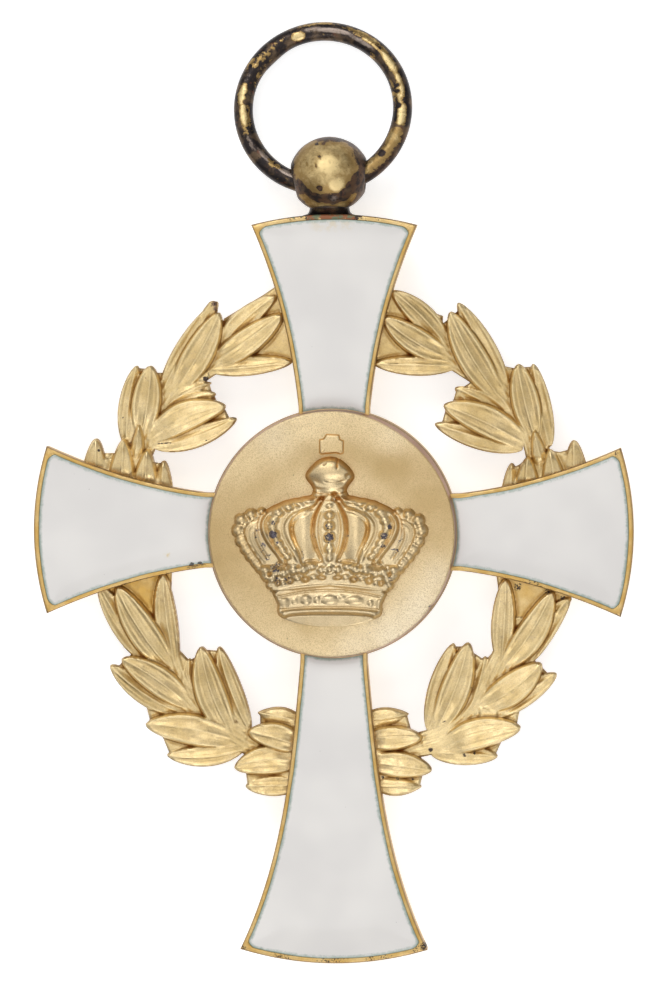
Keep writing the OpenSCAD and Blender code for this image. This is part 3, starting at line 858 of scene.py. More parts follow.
        count = within[:-1, :-1].astype(int) + within[1:, :-1] + within[:-1, 1:] + within[1:, 1:]
        for r, c in zip(*np.nonzero(count == 4)):
            faces.append((numbers[r, c], numbers[r, c + 1], numbers[r + 1, c + 1], numbers[r + 1, c]))
        for r, c in zip(*np.nonzero((count > 0) & (count < 4))):
            corners = [(r, c), (r, c + 1), (r + 1, c + 1), (r + 1, c)]
            face = []
            for here, after in zip(corners, corners[1:] + corners[:1]):
                if within[here]:
                    face.append(int(numbers[here]))
                if within[here] != within[after]:
                    face.append(cut(*here, *after))
            faces.append(tuple(face))
        faces = [tuple(int(i) for i in face) for face in faces]
        edges = {}
        for face in faces:
            for a, b in zip(face, face[1:] + face[:1]):
                if edges.pop((b, a), None) is None:
                    edges[(a, b)] = True
        shift = len(points)
        if plainBack:
            after = dict(edges.keys())
            while after:
                here, loop = next(iter(after)), []
                while here in after:
                    loop.append(here)
                    here = after.pop(here)
                below = list(range(len(points), len(points) + len(loop)))
                points.extend((points[i][0], points[i][1], back) for i in loop)
                faces.extend(wallFaces(below, loop))
                faces.append(tuple(reversed(below)))
            return points, faces, cells
        points.extend([(x, y, back) for x, y, _ in points])
        faces += [tuple(i + shift for i in reversed(face)) for face in faces]
        faces += [(a, a + shift, b + shift, b) for a, b in edges]
        return points, faces, cells

    def sample(self, field, cells, below=0.0, count=None):
        # the field at the points of the face, and one value at the points of the back
        top = [float(field[cell]) for cell in cells]
        return np.array(top + [below] * ((count or 2 * len(cells)) - len(cells)))


def smoothLine(points, steps=6):
    # a curve through the points
    line, last = [], len(points) - 1
    for i in range(last):
        before, a, b, after = (np.array(points[max(0, min(k, last))], float) for k in range(i - 1, i + 3))
        for k in range(steps):
            t = k / steps
            line.append(tuple(0.5 * (2 * a + (b - before) * t + (2 * before - 5 * a + 4 * b - after) * t * t
                                     + (3 * a - before - 3 * b + after) * t ** 3)))
    return line + [tuple(points[-1])]


# Laurel wreath
wreathLook = {
    "step": 0.088,
    "margin": 1.6,
    "marginBelow": 1.8,
    "foot": 0.26,
    "layer": 0.185,
    "midrib": 0.13,
    "border": 0.14,
    "trough": 0.08,
    "shoulder": 0.20,
    "drop": 0.36,
    "vein": 0.046,
    "veinHalf": 0.075,
    "veinApart": 0.19,
    "furrow": 0.05,
    "sink": 0.20,
    "twist": 0.05,
    "smallRidge": 0.34,
    "webTop": 0.10,
    "stemTop": 0.34,
    "stemHalf": 1.25,
    "stubTop": 0.50,
    "notchTop": 0.18,
    "underArm": 0.35,
    "dents": 0.03,
    "webMark": 9.5,
    "webTint": {"upper_left": 0.3, "upper_right": 0.3, "lower_left": 1.3, "lower_right": 0.9},
    "tone": {"upper_left": 0.02, "upper_right": 0.17, "lower_left": 0.13, "lower_right": 0.0},
    # painted shade along the wreath's outline, then the share of paler ridges: wear with painted highlight
    "outline": 0.6,
    "ridgeWearAndHighlightShare": 0.45,
}
# Leaves shorter than these, in millimetres, have no engraved edge, or a squarer base
plainLeaf, squareLeaf = 5.2, 4.7
# Leaves by quarter: base x and y, tip x and y, width, bow to the left of the midrib, layer
leafTables = {
    "upper_left": [
        (-12.1, 17.3, -5.7, 23.9, 2.4, 0.6, 2), (-12.4, 16.9, -5.1, 22.0, 2.7, -0.2, 4),
        (-12.6, 16.5, -4.1, 17.3, 2.0, 0.0, 3), (-17.4, 13.7, -11.6, 23.3, 2.3, 0.2, 2),
        (-16.0, 14.3, -11.4, 22.2, 3.0, -0.3, 4), (-16.7, 12.7, -12.2, 15.2, 1.6, 0.4, 1),
        (-17.7, 11.0, -11.8, 14.1, 2.0, 0.6, 2), (-18.6, 9.4, -10.8, 12.9, 3.0, 0.7, 4),
        (-18.0, 8.7, -9.7, 11.6, 2.2, -0.4, 2), (-20.8, 8.9, -19.7, 16.9, 2.2, 0.2, 2),
        (-19.3, 9.9, -18.3, 16.9, 2.9, -0.1, 4), (-20.1, 7.0, -19.5, 11.1, 1.6, -0.2, 3),
        (-21.3, 4.9, -21.0, 9.5, 2.7, 0.0, 4), (-18.9, 4.5, -18.6, 8.5, 2.4, 0.0, 4),
        (-17.1, 4.3, -17.0, 7.4, 1.9, 0.0, 2), (-24.0, 5.9, -23.8, 9.6, 2.5, 0.0, 2),
    ],
    "upper_right": [
        (11.6, 18.5, 5.9, 24.4, 2.5, -0.4, 2), (11.7, 17.7, 5.1, 21.7, 2.7, 0.3, 4),
        (12.4, 16.9, 4.1, 17.1, 2.0, 0.1, 3), (17.5, 13.7, 12.5, 23.2, 2.4, -0.2, 2),
        (16.8, 13.7, 11.7, 22.3, 3.0, 0.4, 4), (17.8, 11.1, 12.2, 14.7, 2.1, -0.3, 1),
        (19.4, 9.1, 11.1, 13.0, 3.1, -0.4, 4), (19.0, 8.6, 10.2, 11.1, 2.2, 0.2, 2),
        (21.7, 8.8, 20.0, 17.1, 2.2, 0.1, 2), (20.2, 9.8, 18.5, 17.1, 2.8, 0.1, 4),
        (21.3, 6.5, 20.2, 10.5, 1.7, 0.2, 3), (19.4, 4.5, 19.5, 7.8, 2.4, 0.0, 4),
        (22.2, 4.9, 21.7, 8.6, 2.3, 0.0, 4), (17.8, 4.1, 17.9, 7.2, 1.9, 0.0, 2),
        (24.3, 5.5, 24.1, 9.5, 2.6, 0.0, 2),
    ],
    "lower_left": [
        (-18.7, -12.9, -23.6, -5.0, 2.4, 0.1, 2), (-16.1, -13.7, -21.7, -5.3, 3.1, 0.3, 4),
        (-15.9, -13.3, -17.1, -3.9, 2.3, 0.3, 3), (-14.8, -18.1, -22.4, -13.2, 2.4, 0.4, 2),
        (-14.3, -17.3, -21.2, -12.5, 2.9, -0.3, 4), (-9.7, -20.7, -18.8, -19.1, 3.1, -0.3, 4),
        (-8.9, -21.5, -16.7, -22.2, 2.2, 0.4, 2), (-10.1, -20.3, -13.3, -11.3, 3.1, 0.6, 4),
        (-8.4, -19.7, -11.5, -11.3, 2.2, 0.3, 2), (-13.3, -17.7, -14.5, -12.5, 1.8, 0.3, 1),
        (-2.8, -18.9, -7.6, -17.9, 2.1, 0.0, 1), (-2.8, -21.3, -8.5, -19.8, 2.7, -0.3, 4),
        (-3.3, -22.9, -9.9, -23.4, 2.9, -0.5, 3), (-3.3, -25.2, -8.8, -25.3, 2.1, 0.0, 1),
    ],
    "lower_right": [
        (19.4, -12.9, 23.7, -6.3, 2.4, 0.4, 2), (16.9, -13.5, 22.0, -5.7, 2.9, -0.5, 4),
        (16.8, -12.9, 17.3, -4.4, 2.4, 0.0, 3), (15.6, -18.3, 22.4, -13.9, 2.4, 0.0, 2),
        (14.7, -17.4, 20.9, -12.9, 3.1, -0.3, 4), (10.6, -21.5, 18.8, -19.3, 3.1, 0.5, 4),
        (9.8, -21.9, 16.5, -22.2, 2.1, 0.0, 2), (9.6, -19.7, 12.1, -10.9, 2.4, 0.1, 2),
        (10.3, -19.7, 13.6, -10.8, 3.0, -0.4, 4), (13.5, -17.9, 15.3, -12.2, 1.8, -0.2, 1),
        (2.5, -18.7, 7.6, -18.0, 2.0, 0.0, 1), (2.9, -20.7, 8.9, -20.3, 2.4, 0.1, 4),
        (3.4, -22.9, 9.9, -23.6, 2.6, 0.2, 3), (3.8, -25.2, 8.9, -25.3, 2.0, 0.0, 1),
    ],
}
# Stems from the arm outwards, and webs that close the corners beside the arms
stemTables = {
    "upper_left": [(-19.6, 7.6), (-18.8, 9.5), (-17.3, 12.5), (-15.3, 15.0), (-11.8, 17.5), (-8.0, 20.0)],
    "upper_right": [(20.6, 7.6), (20.0, 10.0), (18.5, 12.5), (16.2, 15.0), (11.7, 18.0), (8.0, 20.0)],
    "lower_left": [
        (-3.0, -22.4), (-7.2, -21.5), (-11.7, -19.0), (-15.4, -15.5), (-16.8, -12.0), (-18.2, -9.4),
    ],
    "lower_right": [(3.0, -22.2), (6.7, -21.5), (11.7, -20.0), (15.2, -16.0), (17.2, -12.0), (18.6, -9.4)],
}
webTables = {
    "upper_left": [
        (-3.6, 17.3), (-8.0, 17.5), (-10.4, 18.6), (-11.0, 21.6), (-7.0, 24.0), (-5.7, 24.9), (-4.8, 24.4),
    ],
    "upper_right": [
        (3.8, 17.0), (8.0, 17.2), (10.8, 18.8), (11.0, 21.9), (7.6, 23.0), (5.8, 24.6), (5.0, 24.2),
    ],
    "lower_left": [(-23.6, -5.2), (-16.2, -2.8), (-16.4, -9.0), (-18.5, -11.8), (-21.0, -11.5)],
    "lower_right": [(16.2, -3.0), (23.8, -5.4), (23.9, -6.5), (21.0, -11.8), (18.5, -12.2), (17.2, -10.2)],
}
# Notches that metal fills: a leaf, how far along it, its neighbour, how far along that
notchTables = {
    "upper_left": [
        (8, 0.93, 7, 0.97), (7, 0.92, 6, 0.97), (6, 0.95, 5, 0.95), (5, 0.9, 4, 0.1), (9, 0.97, 10, 0.95),
        (3, 0.95, 4, 0.95), (4, 0.97, 0, 0.4), (10, 0.9, 3, 0.25), (12, 0.7, 15, 0.6), (12, 0.7, 9, 0.1),
        (13, 0.7, 14, 0.9), (12, 0.8, 13, 0.8), (12, 0.9, 11, 0.6),
    ],
    "upper_right": [
        (7, 0.93, 6, 0.97), (6, 0.92, 5, 0.97), (5, 0.93, 4, 0.3), (8, 0.97, 9, 0.95), (3, 0.95, 4, 0.95),
        (4, 0.95, 0, 0.3), (9, 0.93, 3, 0.35), (12, 0.85, 14, 0.8), (12, 0.8, 8, 0.2), (11, 0.8, 13, 0.85),
    ],
    "lower_left": [
        (7, 0.97, 8, 0.95), (2, 0.3, 9, 0.96), (9, 0.96, 7, 0.93), (0, 0.2, 4, 0.95), (3, 0.93, 4, 0.97),
        (3, 0.55, 5, 0.95), (5, 0.88, 6, 0.96), (10, 0.95, 11, 0.8), (11, 0.8, 12, 0.85),
        (12, 0.85, 13, 0.96),
    ],
    "lower_right": [
        (7, 0.96, 8, 0.96), (2, 0.25, 9, 0.93), (9, 0.93, 8, 0.93), (0, 0.1, 4, 0.97), (3, 0.92, 4, 0.97),
        (3, 0.5, 5, 0.95), (5, 0.85, 6, 0.96), (10, 0.96, 11, 0.85), (11, 0.85, 12, 0.9),
        (12, 0.88, 13, 0.96), (1, 0.4, 4, 0.8), (3, 0.5, 5, 0.7),
    ],
}


def leafHalf(width, share, length=9.0):
    if length < squareLeaf:
        return 0.56 * width * np.minimum(1, share / 0.10) ** 0.7 * (1 - share) ** 0.50
    blunt = 0.55 if length > plainLeaf else 0.80
    return width / 2 * np.sin(np.pi * share ** 0.92) ** blunt


def leafAim(leaf):
    baseX, baseY, tipX, tipY = leaf[:4]
    length = math.dist((baseX, baseY), (tipX, tipY))
    return length, (tipX - baseX) / length, (tipY - baseY) / length


def onMidrib(leaf, share):
    baseX, baseY, tipX, tipY, _, bow, _ = leaf
    _, ux, uy = leafAim(leaf)
    side = bow * 4 * share * (1 - share)
    return baseX * (1 - share) + tipX * share - uy * side, baseY * (1 - share) + tipY * share + ux * side


def raiseLeaf(relief, leaf, number):
    look = wreathLook
    baseX, baseY, tipX, tipY, width, bow, layer = leaf
    length, ux, uy = leafAim(leaf)
    box = relief.window([(baseX, baseY), (tipX, tipY)], width + abs(bow))
    x, y = relief.x[box] - baseX, relief.y[box] - baseY
    share = (x * ux + y * uy) / length
    inner = np.clip(share, 0.004, 0.996)
    across = -x * uy + y * ux - bow * 4 * inner * (1 - inner)
    half = leafHalf(width, inner, length)
    ahead, behind = np.clip(inner + 0.003, 0, 0.999), np.clip(inner - 0.003, 0.001, 1)
    slope = (leafHalf(width, ahead, length) - leafHalf(width, behind, length)) / (0.006 * length)
    depth = (half - np.abs(across)) / np.sqrt(1 + slope ** 2)
    beyond = np.maximum(np.maximum(-share, share - 1), 0) * length
    depth = np.where(beyond > 0, -np.hypot(beyond, across), depth)
    # height: the leaf rises from its stem, with a midrib, raised borders and troughs between them
    t = across / np.maximum(half, 0.05)
    rib = across - 0.12 * math.sin(number * 2.4) * half
    opening = smoothStep((inner - 0.01) / 0.42)
    swell = (0.35 + 0.65 * opening) * (1 - 0.55 * smoothStep((inner - 0.72) / 0.26))
    form = look["midrib"] * np.exp(-(rib / (0.16 * half + 0.10)) ** 2)
    form += look["border"] * np.exp(-((np.abs(t) - 0.80) / 0.17) ** 2)
    form -= look["trough"] * np.exp(-((np.abs(t) - 0.50) / 0.20) ** 2)
    if length < plainLeaf:
        form = look["smallRidge"] * (1 - np.abs(t))
    height = look["foot"] + (layer * look["layer"] - look["foot"]) * opening + (form + 0.10) * swell
    # engraving: a raised vein between two cut ones, and a furrow inside the edge
    fade = smoothStep(inner / 0.12) * smoothStep((0.94 - inner) / 0.15)
    for offset, sign in ((0, 1), (-look["veinApart"], -1), (look["veinApart"], -1)):
        height += sign * look["vein"] * np.exp(-((rib - offset) / look["veinHalf"]) ** 2) * fade
    if length > plainLeaf:
        height -= look["furrow"] * np.exp(-((depth - 0.27) / 0.07) ** 2) * fade
    height += look["twist"] * np.sin(inner * 2.6 + number * 1.9) * np.clip(t, -1, 1)
    fall = np.clip(1 - depth / look["shoulder"], 0, 2.4)
    height -= look["drop"] * (0.25 + 0.75 * opening) * fall ** 2
    sink = look["sink"] * smoothStep((inner - 0.15) / 0.25) if layer > 2 else 0.0
    weight = (0.15 + 0.85 * opening) * (0.6 if length < plainLeaf else 1.0)
    relief.merge(box, height, depth, weight=weight, across=rib, sink=sink)


def raiseGround(relief, points, top, closed=True, half=0.0):
    look = wreathLook
    if closed:
        box, depth = relief.toShape(points, 0.7)
        ribs = 0.0
    else:
        box, away, _ = relief.toLine(points, half + 0.7)
        depth = half - away
        ribs = 0.04 * np.cos(away / 0.085) * smoothStep(depth / 0.4)
    fall = np.clip(1 - depth / look["shoulder"], 0, 2.2)
    relief.merge(box, top + ribs - look["drop"] * 0.8 * fall ** 2, depth, 0.12, weight=0.3)


def armDepth(x, y):
    # how far a place lies inside the nearest arm, negative outside
    best = np.full(np.shape(x), -99.0)
    for arm in armShapes.values():
        turn = math.radians(arm["turn"])
        at = x * math.cos(turn) + y * math.sin(turn)
        across = -x * math.sin(turn) + y * math.cos(turn) - arm["shift"]
        side = (armHalf(arm, at) - np.abs(across)) / 1.08
        best = np.maximum(best, np.where(at > 0, np.minimum(side, armEnd(arm, across) - at), -99.0))
    return best


def buildQuarter(name, gilt):
    leaves = leafTables[name]
    look = wreathLook
    xs = [v for leaf in leaves for v in (leaf[0], leaf[2])]
    ys = [v for leaf in leaves for v in (leaf[1], leaf[3])]
    margin = look["margin"]
    relief = Relief(min(xs) - margin, min(ys) - look["marginBelow"], max(xs) + margin, max(ys) + margin,
                    look["step"], -2.0)
    raiseGround(relief, webTables[name], look["webTop"])
    relief.across[relief.inside > -0.1] = look["webMark"]
    raiseGround(relief, smoothLine(stemTables[name], 4), look["stemTop"], closed=False, half=look["stemHalf"])
    for shape in wreathStubs.get(name, []):
        raiseGround(relief, shape, look["stubTop"])
    for one, reach, other, otherReach in notchTables[name]:
        places = ((one, 0.13), (one, reach), (other, otherReach), (other, 0.17))
        raiseGround(relief, [onMidrib(leaves[leaf], share) for leaf, share in places], look["notchTop"])
    for number, leaf in sorted(enumerate(leaves), key=lambda item: item[1][6]):
        raiseLeaf(relief, leaf, number)
    # the wreath ends just inside the arms
    metal = armDepth(relief.x, relief.y)
    relief.inside = np.minimum(relief.inside, look["underArm"] - metal)
    relief.height = np.maximum(relief.height, -0.55)
    bumpy = np.array([[wander(x, y, 1.1, 11) for x in relief.xs[::4]] for y in relief.ys[::4]])
    bumpy = np.kron(bumpy, np.ones((4, 4)))[: relief.height.shape[0], : relief.height.shape[1]]
    relief.height += look["dents"] * relief.blurred(bumpy, 3)
    relief.height = 0.5 * (relief.height + relief.blurred(relief.height, 1))
    # below is how far a place lies under the metal round it
    below = (relief.blurred(relief.height, 4) - relief.height) / 0.16
    # painted shade in hollows and along the steps between leaves, with some toning
    hollowShadeAndTone = np.clip(0.35 * below + 0.85 * relief.blurred(relief.stain, 1), 0, 1.2)
    # olive tone of the quarter, deeper as painted shade in hollows and lighter on ridges
    tonedAndShaded = np.clip(look["tone"][name] * (1 + 1.6 * below), 0, 0.5)
    # painted shade: a dark line where the wreath meets the foot of the arms
    dirtAndShade = np.exp(-((metal - 0.06) / 0.13) ** 2) * 0.60
    # painted shade along the wreath's outline, full on its walls and back
    outline = look["outline"] * np.exp(-(np.maximum(relief.inside, 0) / 0.10) ** 2)
    points, faces, cells = relief.solid(levels["middle"], levels["wreathBack"])
    dirt = softPatches(points, wreathDirt.get(name, [])) * (np.arange(len(points)) < len(cells))
    edgeShadeAndBreak = relief.sample(outline, cells, 1.0)
    if name == "upper_left":
        edgeShadeAndBreak = np.maximum(edgeShadeAndBreak, softPatches(points, brokenTip))
    paint = {
        "hollowShadeAndTone": relief.sample(hollowShadeAndTone, cells, 0.2),
        "dirtAndShade": np.maximum(relief.sample(dirtAndShade, cells), dirt),
        "across": relief.sample(relief.across, cells, 9.0),
        "edgeShadeAndBreak": edgeShadeAndBreak,
        "tonedAndShaded": relief.sample(tonedAndShaded, cells, look["tone"][name]),
        "rim": relief.sample(look["webTint"][name] * (relief.across > 9.2), cells),
        # paler raised ridges: wear with painted highlight
        "ridgeWearAndHighlight": relief.sample(look["ridgeWearAndHighlightShare"] * np.clip(-1.4 * below, 0, 1), cells),
    }
    makePiece("wreath_" + name, points, faces, gilt, "badge", ["cross_frame"], 50, paint)


# The leaf tip that broke off, then dirt by quarter, with a thin black line at the upper left:
# x, y, radius, strength
brokenTip = [(-11.85, 23.1, 0.28, 1.3), (-11.8, 22.6, 0.20, 1.3)]
wreathDirt = {
    "upper_left": [(-11.95, 23.0, 0.30, 0.50), (-11.8, 22.5, 0.20, 0.50), (-12.75, 15.6, 0.32, 0.75),
                   (-21.1, 11.7, 0.10, 0.9), (-23.5, 8.4, 0.14, 0.9), (-12.7, 9.4, 0.12, 0.7),
                   (-9.85, 11.8, 0.3, 0.56)]
    + [(-17.55 + 0.16 * i, 9.08 + 0.012 * i, 0.08, 0.95) for i in range(9)],
    "lower_right": [(18.5, -5.2, 0.5, 0.55), (21.5, -5.6, 0.45, 0.55), (23.0, -6.3, 0.3, 0.6),
                    (6.5, -24.45, 0.2, 0.65), (8.0, -24.55, 0.16, 0.65), (5.0, -24.35, 0.2, 0.65),
                    (13.2, -22.05, 0.22, 0.66), (14.2, -21.9, 0.18, 0.66), (9.8, -21.55, 0.24, 0.75),
                    (11.2, -18.8, 0.26, 0.5), (13.9, -15.4, 0.24, 0.5)],
}
# Broken ends that stand out from the leaves
wreathStubs = {
    "upper_left": [
        [(-13.5, 21.6), (-12.95, 22.6), (-12.4, 23.3), (-12.05, 23.42), (-11.62, 23.3), (-11.6, 22.35),
         (-12.0, 21.8)],
        [(-13.4, 16.2), (-12.5, 16.4), (-12.3, 15.7), (-12.9, 15.2), (-13.6, 15.4)],
        [(-23.4, 5.4), (-23.2, 7.7), (-22.5, 7.6), (-21.5, 8.3), (-19.5, 8.2), (-18.3, 7.2), (-17.6, 6.3),
         (-17.3, 4.4)],
    ],
    "upper_right": [
        [(17.3, 4.0), (17.6, 6.6), (18.6, 7.0), (20.0, 8.2), (22.0, 8.4), (23.4, 8.2), (24.0, 5.4)],
    ],
    "lower_right": [[(14.6, -17.2), (16.6, -17.6), (16.4, -18.8), (14.6, -18.6)]],
}


# Medallion: a dished disc and the crown struck on it
discSizes = {
    "radius": 12.26,
    "foot": 12.42,
    "dish": 0.62,
    "flat": 0.30,
    "around": 288,
    "spacing": 0.2,
}
# The rounded edge of the disc: distance beyond its radius, drop
discRounding = [(-0.14, 0.0), (-0.05, 0.03), (0.0, 0.09), (0.02, 0.2)]
# Chip and flat in that edge: direction in radians, spread in degrees, depth, lowest drop that they reach
discChips = [(5.65, 1.6, 0.14, 9.0), (0.8, 26, 0.18, 0.3)]
crownSizes = {
    "middle": -0.2,
    "step": 0.062,
    "sink": 5.82,
    "halfWidth": 9.6,
    "fallToSides": 0.30,
    "boldness": 1.23,
}
# Half of the crown, measured outwards from its middle line; the other half is its mirror image.
# Each form: top, width of its steep side, how much painted brown shade that side gets, outline
crownForms = [
    (0.46, 0.32, 0.12, [
        (6.55, 2.5), (7.95, 2.5), (9.1, 1.9), (9.5, 0.85), (9.3, -0.5), (8.7, -1.5), (8.0, -2.5),
        (7.3, -3.5), (5.2, -3.0), (4.6, -1.0), (6.0, 1.8),
    ]),
    (0.96, 0.50, 0.95, [
        (0.7, 4.3), (1.2, 4.15), (2.55, 3.92), (3.1, 3.78), (3.55, 3.74), (4.1, 3.6), (4.55, 3.5),
        (5.1, 3.24), (5.55, 3.05), (6.1, 2.75), (6.5, 2.42), (6.95, 1.8), (7.15, 0.95), (6.98, 0.1),
        (6.55, -0.75), (6.0, -1.5), (5.45, -2.2), (4.75, -3.1), (2.7, -3.3), (2.6, -2.4), (3.1, -1.2),
        (3.6, -0.1), (3.75, 0.9), (3.4, 1.6), (2.7, 2.1), (1.7, 2.5), (1.0, 3.2),
    ]),
]
# Forms that cross the middle line are given from it and closed by their mirror image
crownMiddleForms = [
    (0.52, 0.30, 0.2, [
        (0.0, 4.1), (1.2, 3.6), (3.2, 2.6), (3.9, 1.0), (3.5, -1.0), (3.0, -3.2), (0.0, -3.2),
    ]),
    (0.80, 0.24, 0.45, [
        (0.0, 4.3), (0.6, 3.9), (1.12, 2.8), (1.5, 1.9), (1.66, 1.0), (1.66, 0.0), (1.38, -1.1),
        (1.0, -2.0), (0.7, -2.9), (0.0, -3.0),
    ]),
    (0.72, 0.28, 0.12, [
        (0.0, -2.5), (1.6, -2.45), (3.0, -2.6), (4.6, -2.6), (5.6, -2.75), (6.6, -2.9), (7.1, -3.5),
        (6.9, -4.3), (6.35, -4.7), (5.95, -5.4), (5.4, -5.7), (0.0, -5.2),
    ]),
    (0.68, 0.30, 0.15, [
        (0.0, -4.9), (2.5, -5.05), (5.55, -5.55), (5.5, -6.3), (5.25, -6.9), (5.3, -7.4), (5.1, -8.0),
        (4.6, -8.25), (3.8, -8.02), (2.0, -7.86), (0.0, -7.82),
    ]),
    (0.15, 0.14, 0.4, [
        (0.0, -7.6), (2.0, -7.7), (3.7, -7.9), (4.75, -8.15), (4.3, -8.45), (3.2, -8.8), (1.7, -9.03),
        (0.0, -9.1),
    ]),
]
orbForms = [
    (0.62, 0.45, 0.9, [(0.0, 4.9), (1.5, 4.9), (1.72, 4.4), (1.95, 4.0), (2.5, 3.8), (0.0, 3.6)]),
    (0.62, 0.50, 0.95, [
        (0.0, 7.92), (0.85, 7.72), (1.5, 7.28), (2.05, 6.72), (2.45, 6.12), (2.38, 5.62), (1.9, 5.0),
        (1.45, 4.4), (0.0, 4.2),
    ]),
]
# Lines on the crown: half width, rise (or depth), how much painted brown shade, points
crownLines = [
    (0.17, 0.17, 0.0, [
        (6.95, 1.8), (8.1, 1.35), (8.55, 0.65), (8.55, -0.1), (8.1, -1.1), (7.5, -2.0), (6.75, -3.0),
    ]),
    (0.14, 0.12, 0.0, [
        (7.05, 1.4), (7.8, 1.0), (8.12, 0.5), (8.1, -0.25), (7.65, -1.3), (7.1, -2.1), (6.4, -2.9),
    ]),
    (0.12, 0.09, 0.0, [(7.6, 0.4), (7.6, -0.3), (7.1, -1.35), (6.35, -2.5)]),
    (0.16, -0.12, 0.25, [(7.3, 0.9), (7.3, -0.1), (6.85, -1.2), (6.1, -2.4)]),
    (0.16, 0.13, 0.0, [
        (6.1, 2.2), (6.62, 1.4), (6.62, 0.6), (6.25, -0.3), (5.75, -1.1), (5.15, -1.9), (4.8, -2.4),
    ]),
    (0.12, -0.20, 0.25, [
        (5.85, 2.15), (6.32, 1.45), (6.32, 0.75), (5.98, -0.1), (5.5, -1.1), (4.9, -1.9), (4.6, -2.4),
    ]),
    (0.16, 0.12, 0.0, [
        (1.45, 3.1), (2.65, 2.85), (3.65, 2.4), (4.3, 1.8), (4.62, 1.2), (4.66, 0.5), (4.4, -0.3),
        (3.8, -1.3), (3.4, -2.1), (3.1, -2.6),
    ]),
    (0.17, -0.12, 0.2, [
        (1.5, 2.78), (2.75, 2.48), (3.72, 1.98), (4.28, 1.2), (4.3, 0.5), (3.98, -0.5), (3.38, -1.6),
    ]),
    (0.13, 0.11, 0.0, [
        (1.35, 2.58), (2.35, 2.28), (3.2, 1.8), (3.85, 1.2), (4.0, 0.4), (3.68, -0.6), (3.15, -1.6),
        (2.75, -2.5),
    ]),
    (0.11, -0.13, 0.12, [
        (1.9, 2.3), (2.9, 1.95), (3.55, 1.4), (3.74, 0.8), (3.7, 0.2), (3.4, -0.6), (2.98, -1.5),
        (2.65, -2.4),
    ]),
    (0.13, -0.22, 0.75, [
        (0.62, 3.6), (1.22, 2.6), (1.6, 1.8), (1.74, 1.0), (1.74, 0.0), (1.44, -1.1), (1.05, -2.0),
        (0.75, -2.6),
    ]),
    (0.15, 0.12, 0.0, [(0.9, 2.6), (1.24, 1.5), (1.3, 0.3), (1.06, -1.1), (0.72, -2.1)]),
    (0.14, -0.12, 0.2, [(0.66, 2.6), (0.92, 1.5), (0.96, 0.3), (0.78, -1.1), (0.5, -2.0)]),
    (0.15, -0.26, 0.6, [(4.5, -2.35), (4.35, -2.85), (4.75, -3.1), (5.3, -2.95), (5.65, -3.3)]),
    (0.11, -0.14, 0.4, [(1.15, -2.85), (1.2, -2.55), (1.75, -2.5), (2.35, -2.55), (2.45, -2.9)]),
]
circletLines = [
    (0.20, 0.15, 0.0, [(5.45, -5.65), (4.6, -5.42), (2.5, -5.12), (0.0, -4.95)]),
    (0.12, -0.12, 0.3, [(5.35, -5.95), (2.6, -5.42), (0.0, -5.28)]),
    (0.14, 0.10, 0.0, [(5.25, -6.12), (2.6, -5.62), (0.0, -5.48)]),
    (0.12, -0.10, 0.3, [(5.2, -6.28), (2.6, -5.80), (0.0, -5.68)]),
    (0.16, 0.10, 0.0, [(5.1, -7.25), (2.5, -7.0), (0.0, -6.97)]),
    (0.12, -0.10, 0.3, [(5.1, -7.45), (2.5, -7.2), (0.0, -7.17)]),
    (0.48, 0.26, 0.0, [(4.8, -7.95), (3.9, -7.74), (2.2, -7.62), (0.0, -7.6)]),
]
# Pearls of the outer arch: place, radius, top
crownPearls = [
    (6.8, 2.35, 0.50, 0.50), (7.85, 2.05, 0.70, 0.62), (8.8, 1.5, 0.78, 0.68), (9.1, 0.5, 0.78, 0.68),
    (8.8, -0.5, 0.74, 0.64), (8.33, -1.32, 0.72, 0.62), (7.85, -2.04, 0.70, 0.62),
    (7.35, -2.68, 0.66, 0.60), (6.92, -3.28, 0.62, 0.58), (6.28, -4.15, 0.58, 0.72),
    (5.98, -4.95, 0.48, 0.62),
]
# Beads and stones raised on the forms: place, half width, half height, rise
crownBeads = [
    (2.1, 3.42, 0.52, 0.26, 0.16), (3.03, 3.2, 0.50, 0.34, 0.22), (4.1, 2.83, 0.56, 0.46, 0.28),
    (5.1, 2.3, 0.58, 0.50, 0.30), (5.55, 1.55, 0.50, 0.48, 0.26), (5.72, 0.85, 0.42, 0.40, 0.22),
    (5.5, 0.05, 0.56, 0.56, 0.32), (5.1, -0.8, 0.50, 0.48, 0.26), (4.65, -1.5, 0.45, 0.44, 0.24),
    (4.2, -2.1, 0.40, 0.38, 0.20), (1.75, -3.1, 0.52, 0.38, 0.22), (2.6, -3.4, 0.56, 0.50, 0.30),
    (3.6, -3.4, 0.62, 0.58, 0.34), (0.85, -3.4, 0.40, 0.42, 0.20), (5.35, -3.65, 0.52, 0.50, 0.28),
    (6.4, -3.45, 0.52, 0.48, 0.28), (5.75, -4.3, 0.42, 0.50, 0.24), (4.55, -3.75, 0.46, 0.46, 0.24),
    (1.6, -4.1, 0.40, 0.32, 0.14), (3.2, -4.25, 0.36, 0.32, 0.14), (4.65, -4.7, 0.30, 0.28, 0.12),
]
# Hollows between the stones: place, half width, half height, depth
crownHollows = [
    (2.42, -4.36, 0.44, 0.34, 0.38), (0.82, -4.18, 0.52, 0.26, 0.30), (3.95, -4.5, 0.38, 0.38, 0.34),
    (5.15, -4.75, 0.28, 0.34, 0.28), (6.0, -3.85, 0.16, 0.36, 0.16), (3.1, -3.05, 0.18, 0.22, 0.12),
]
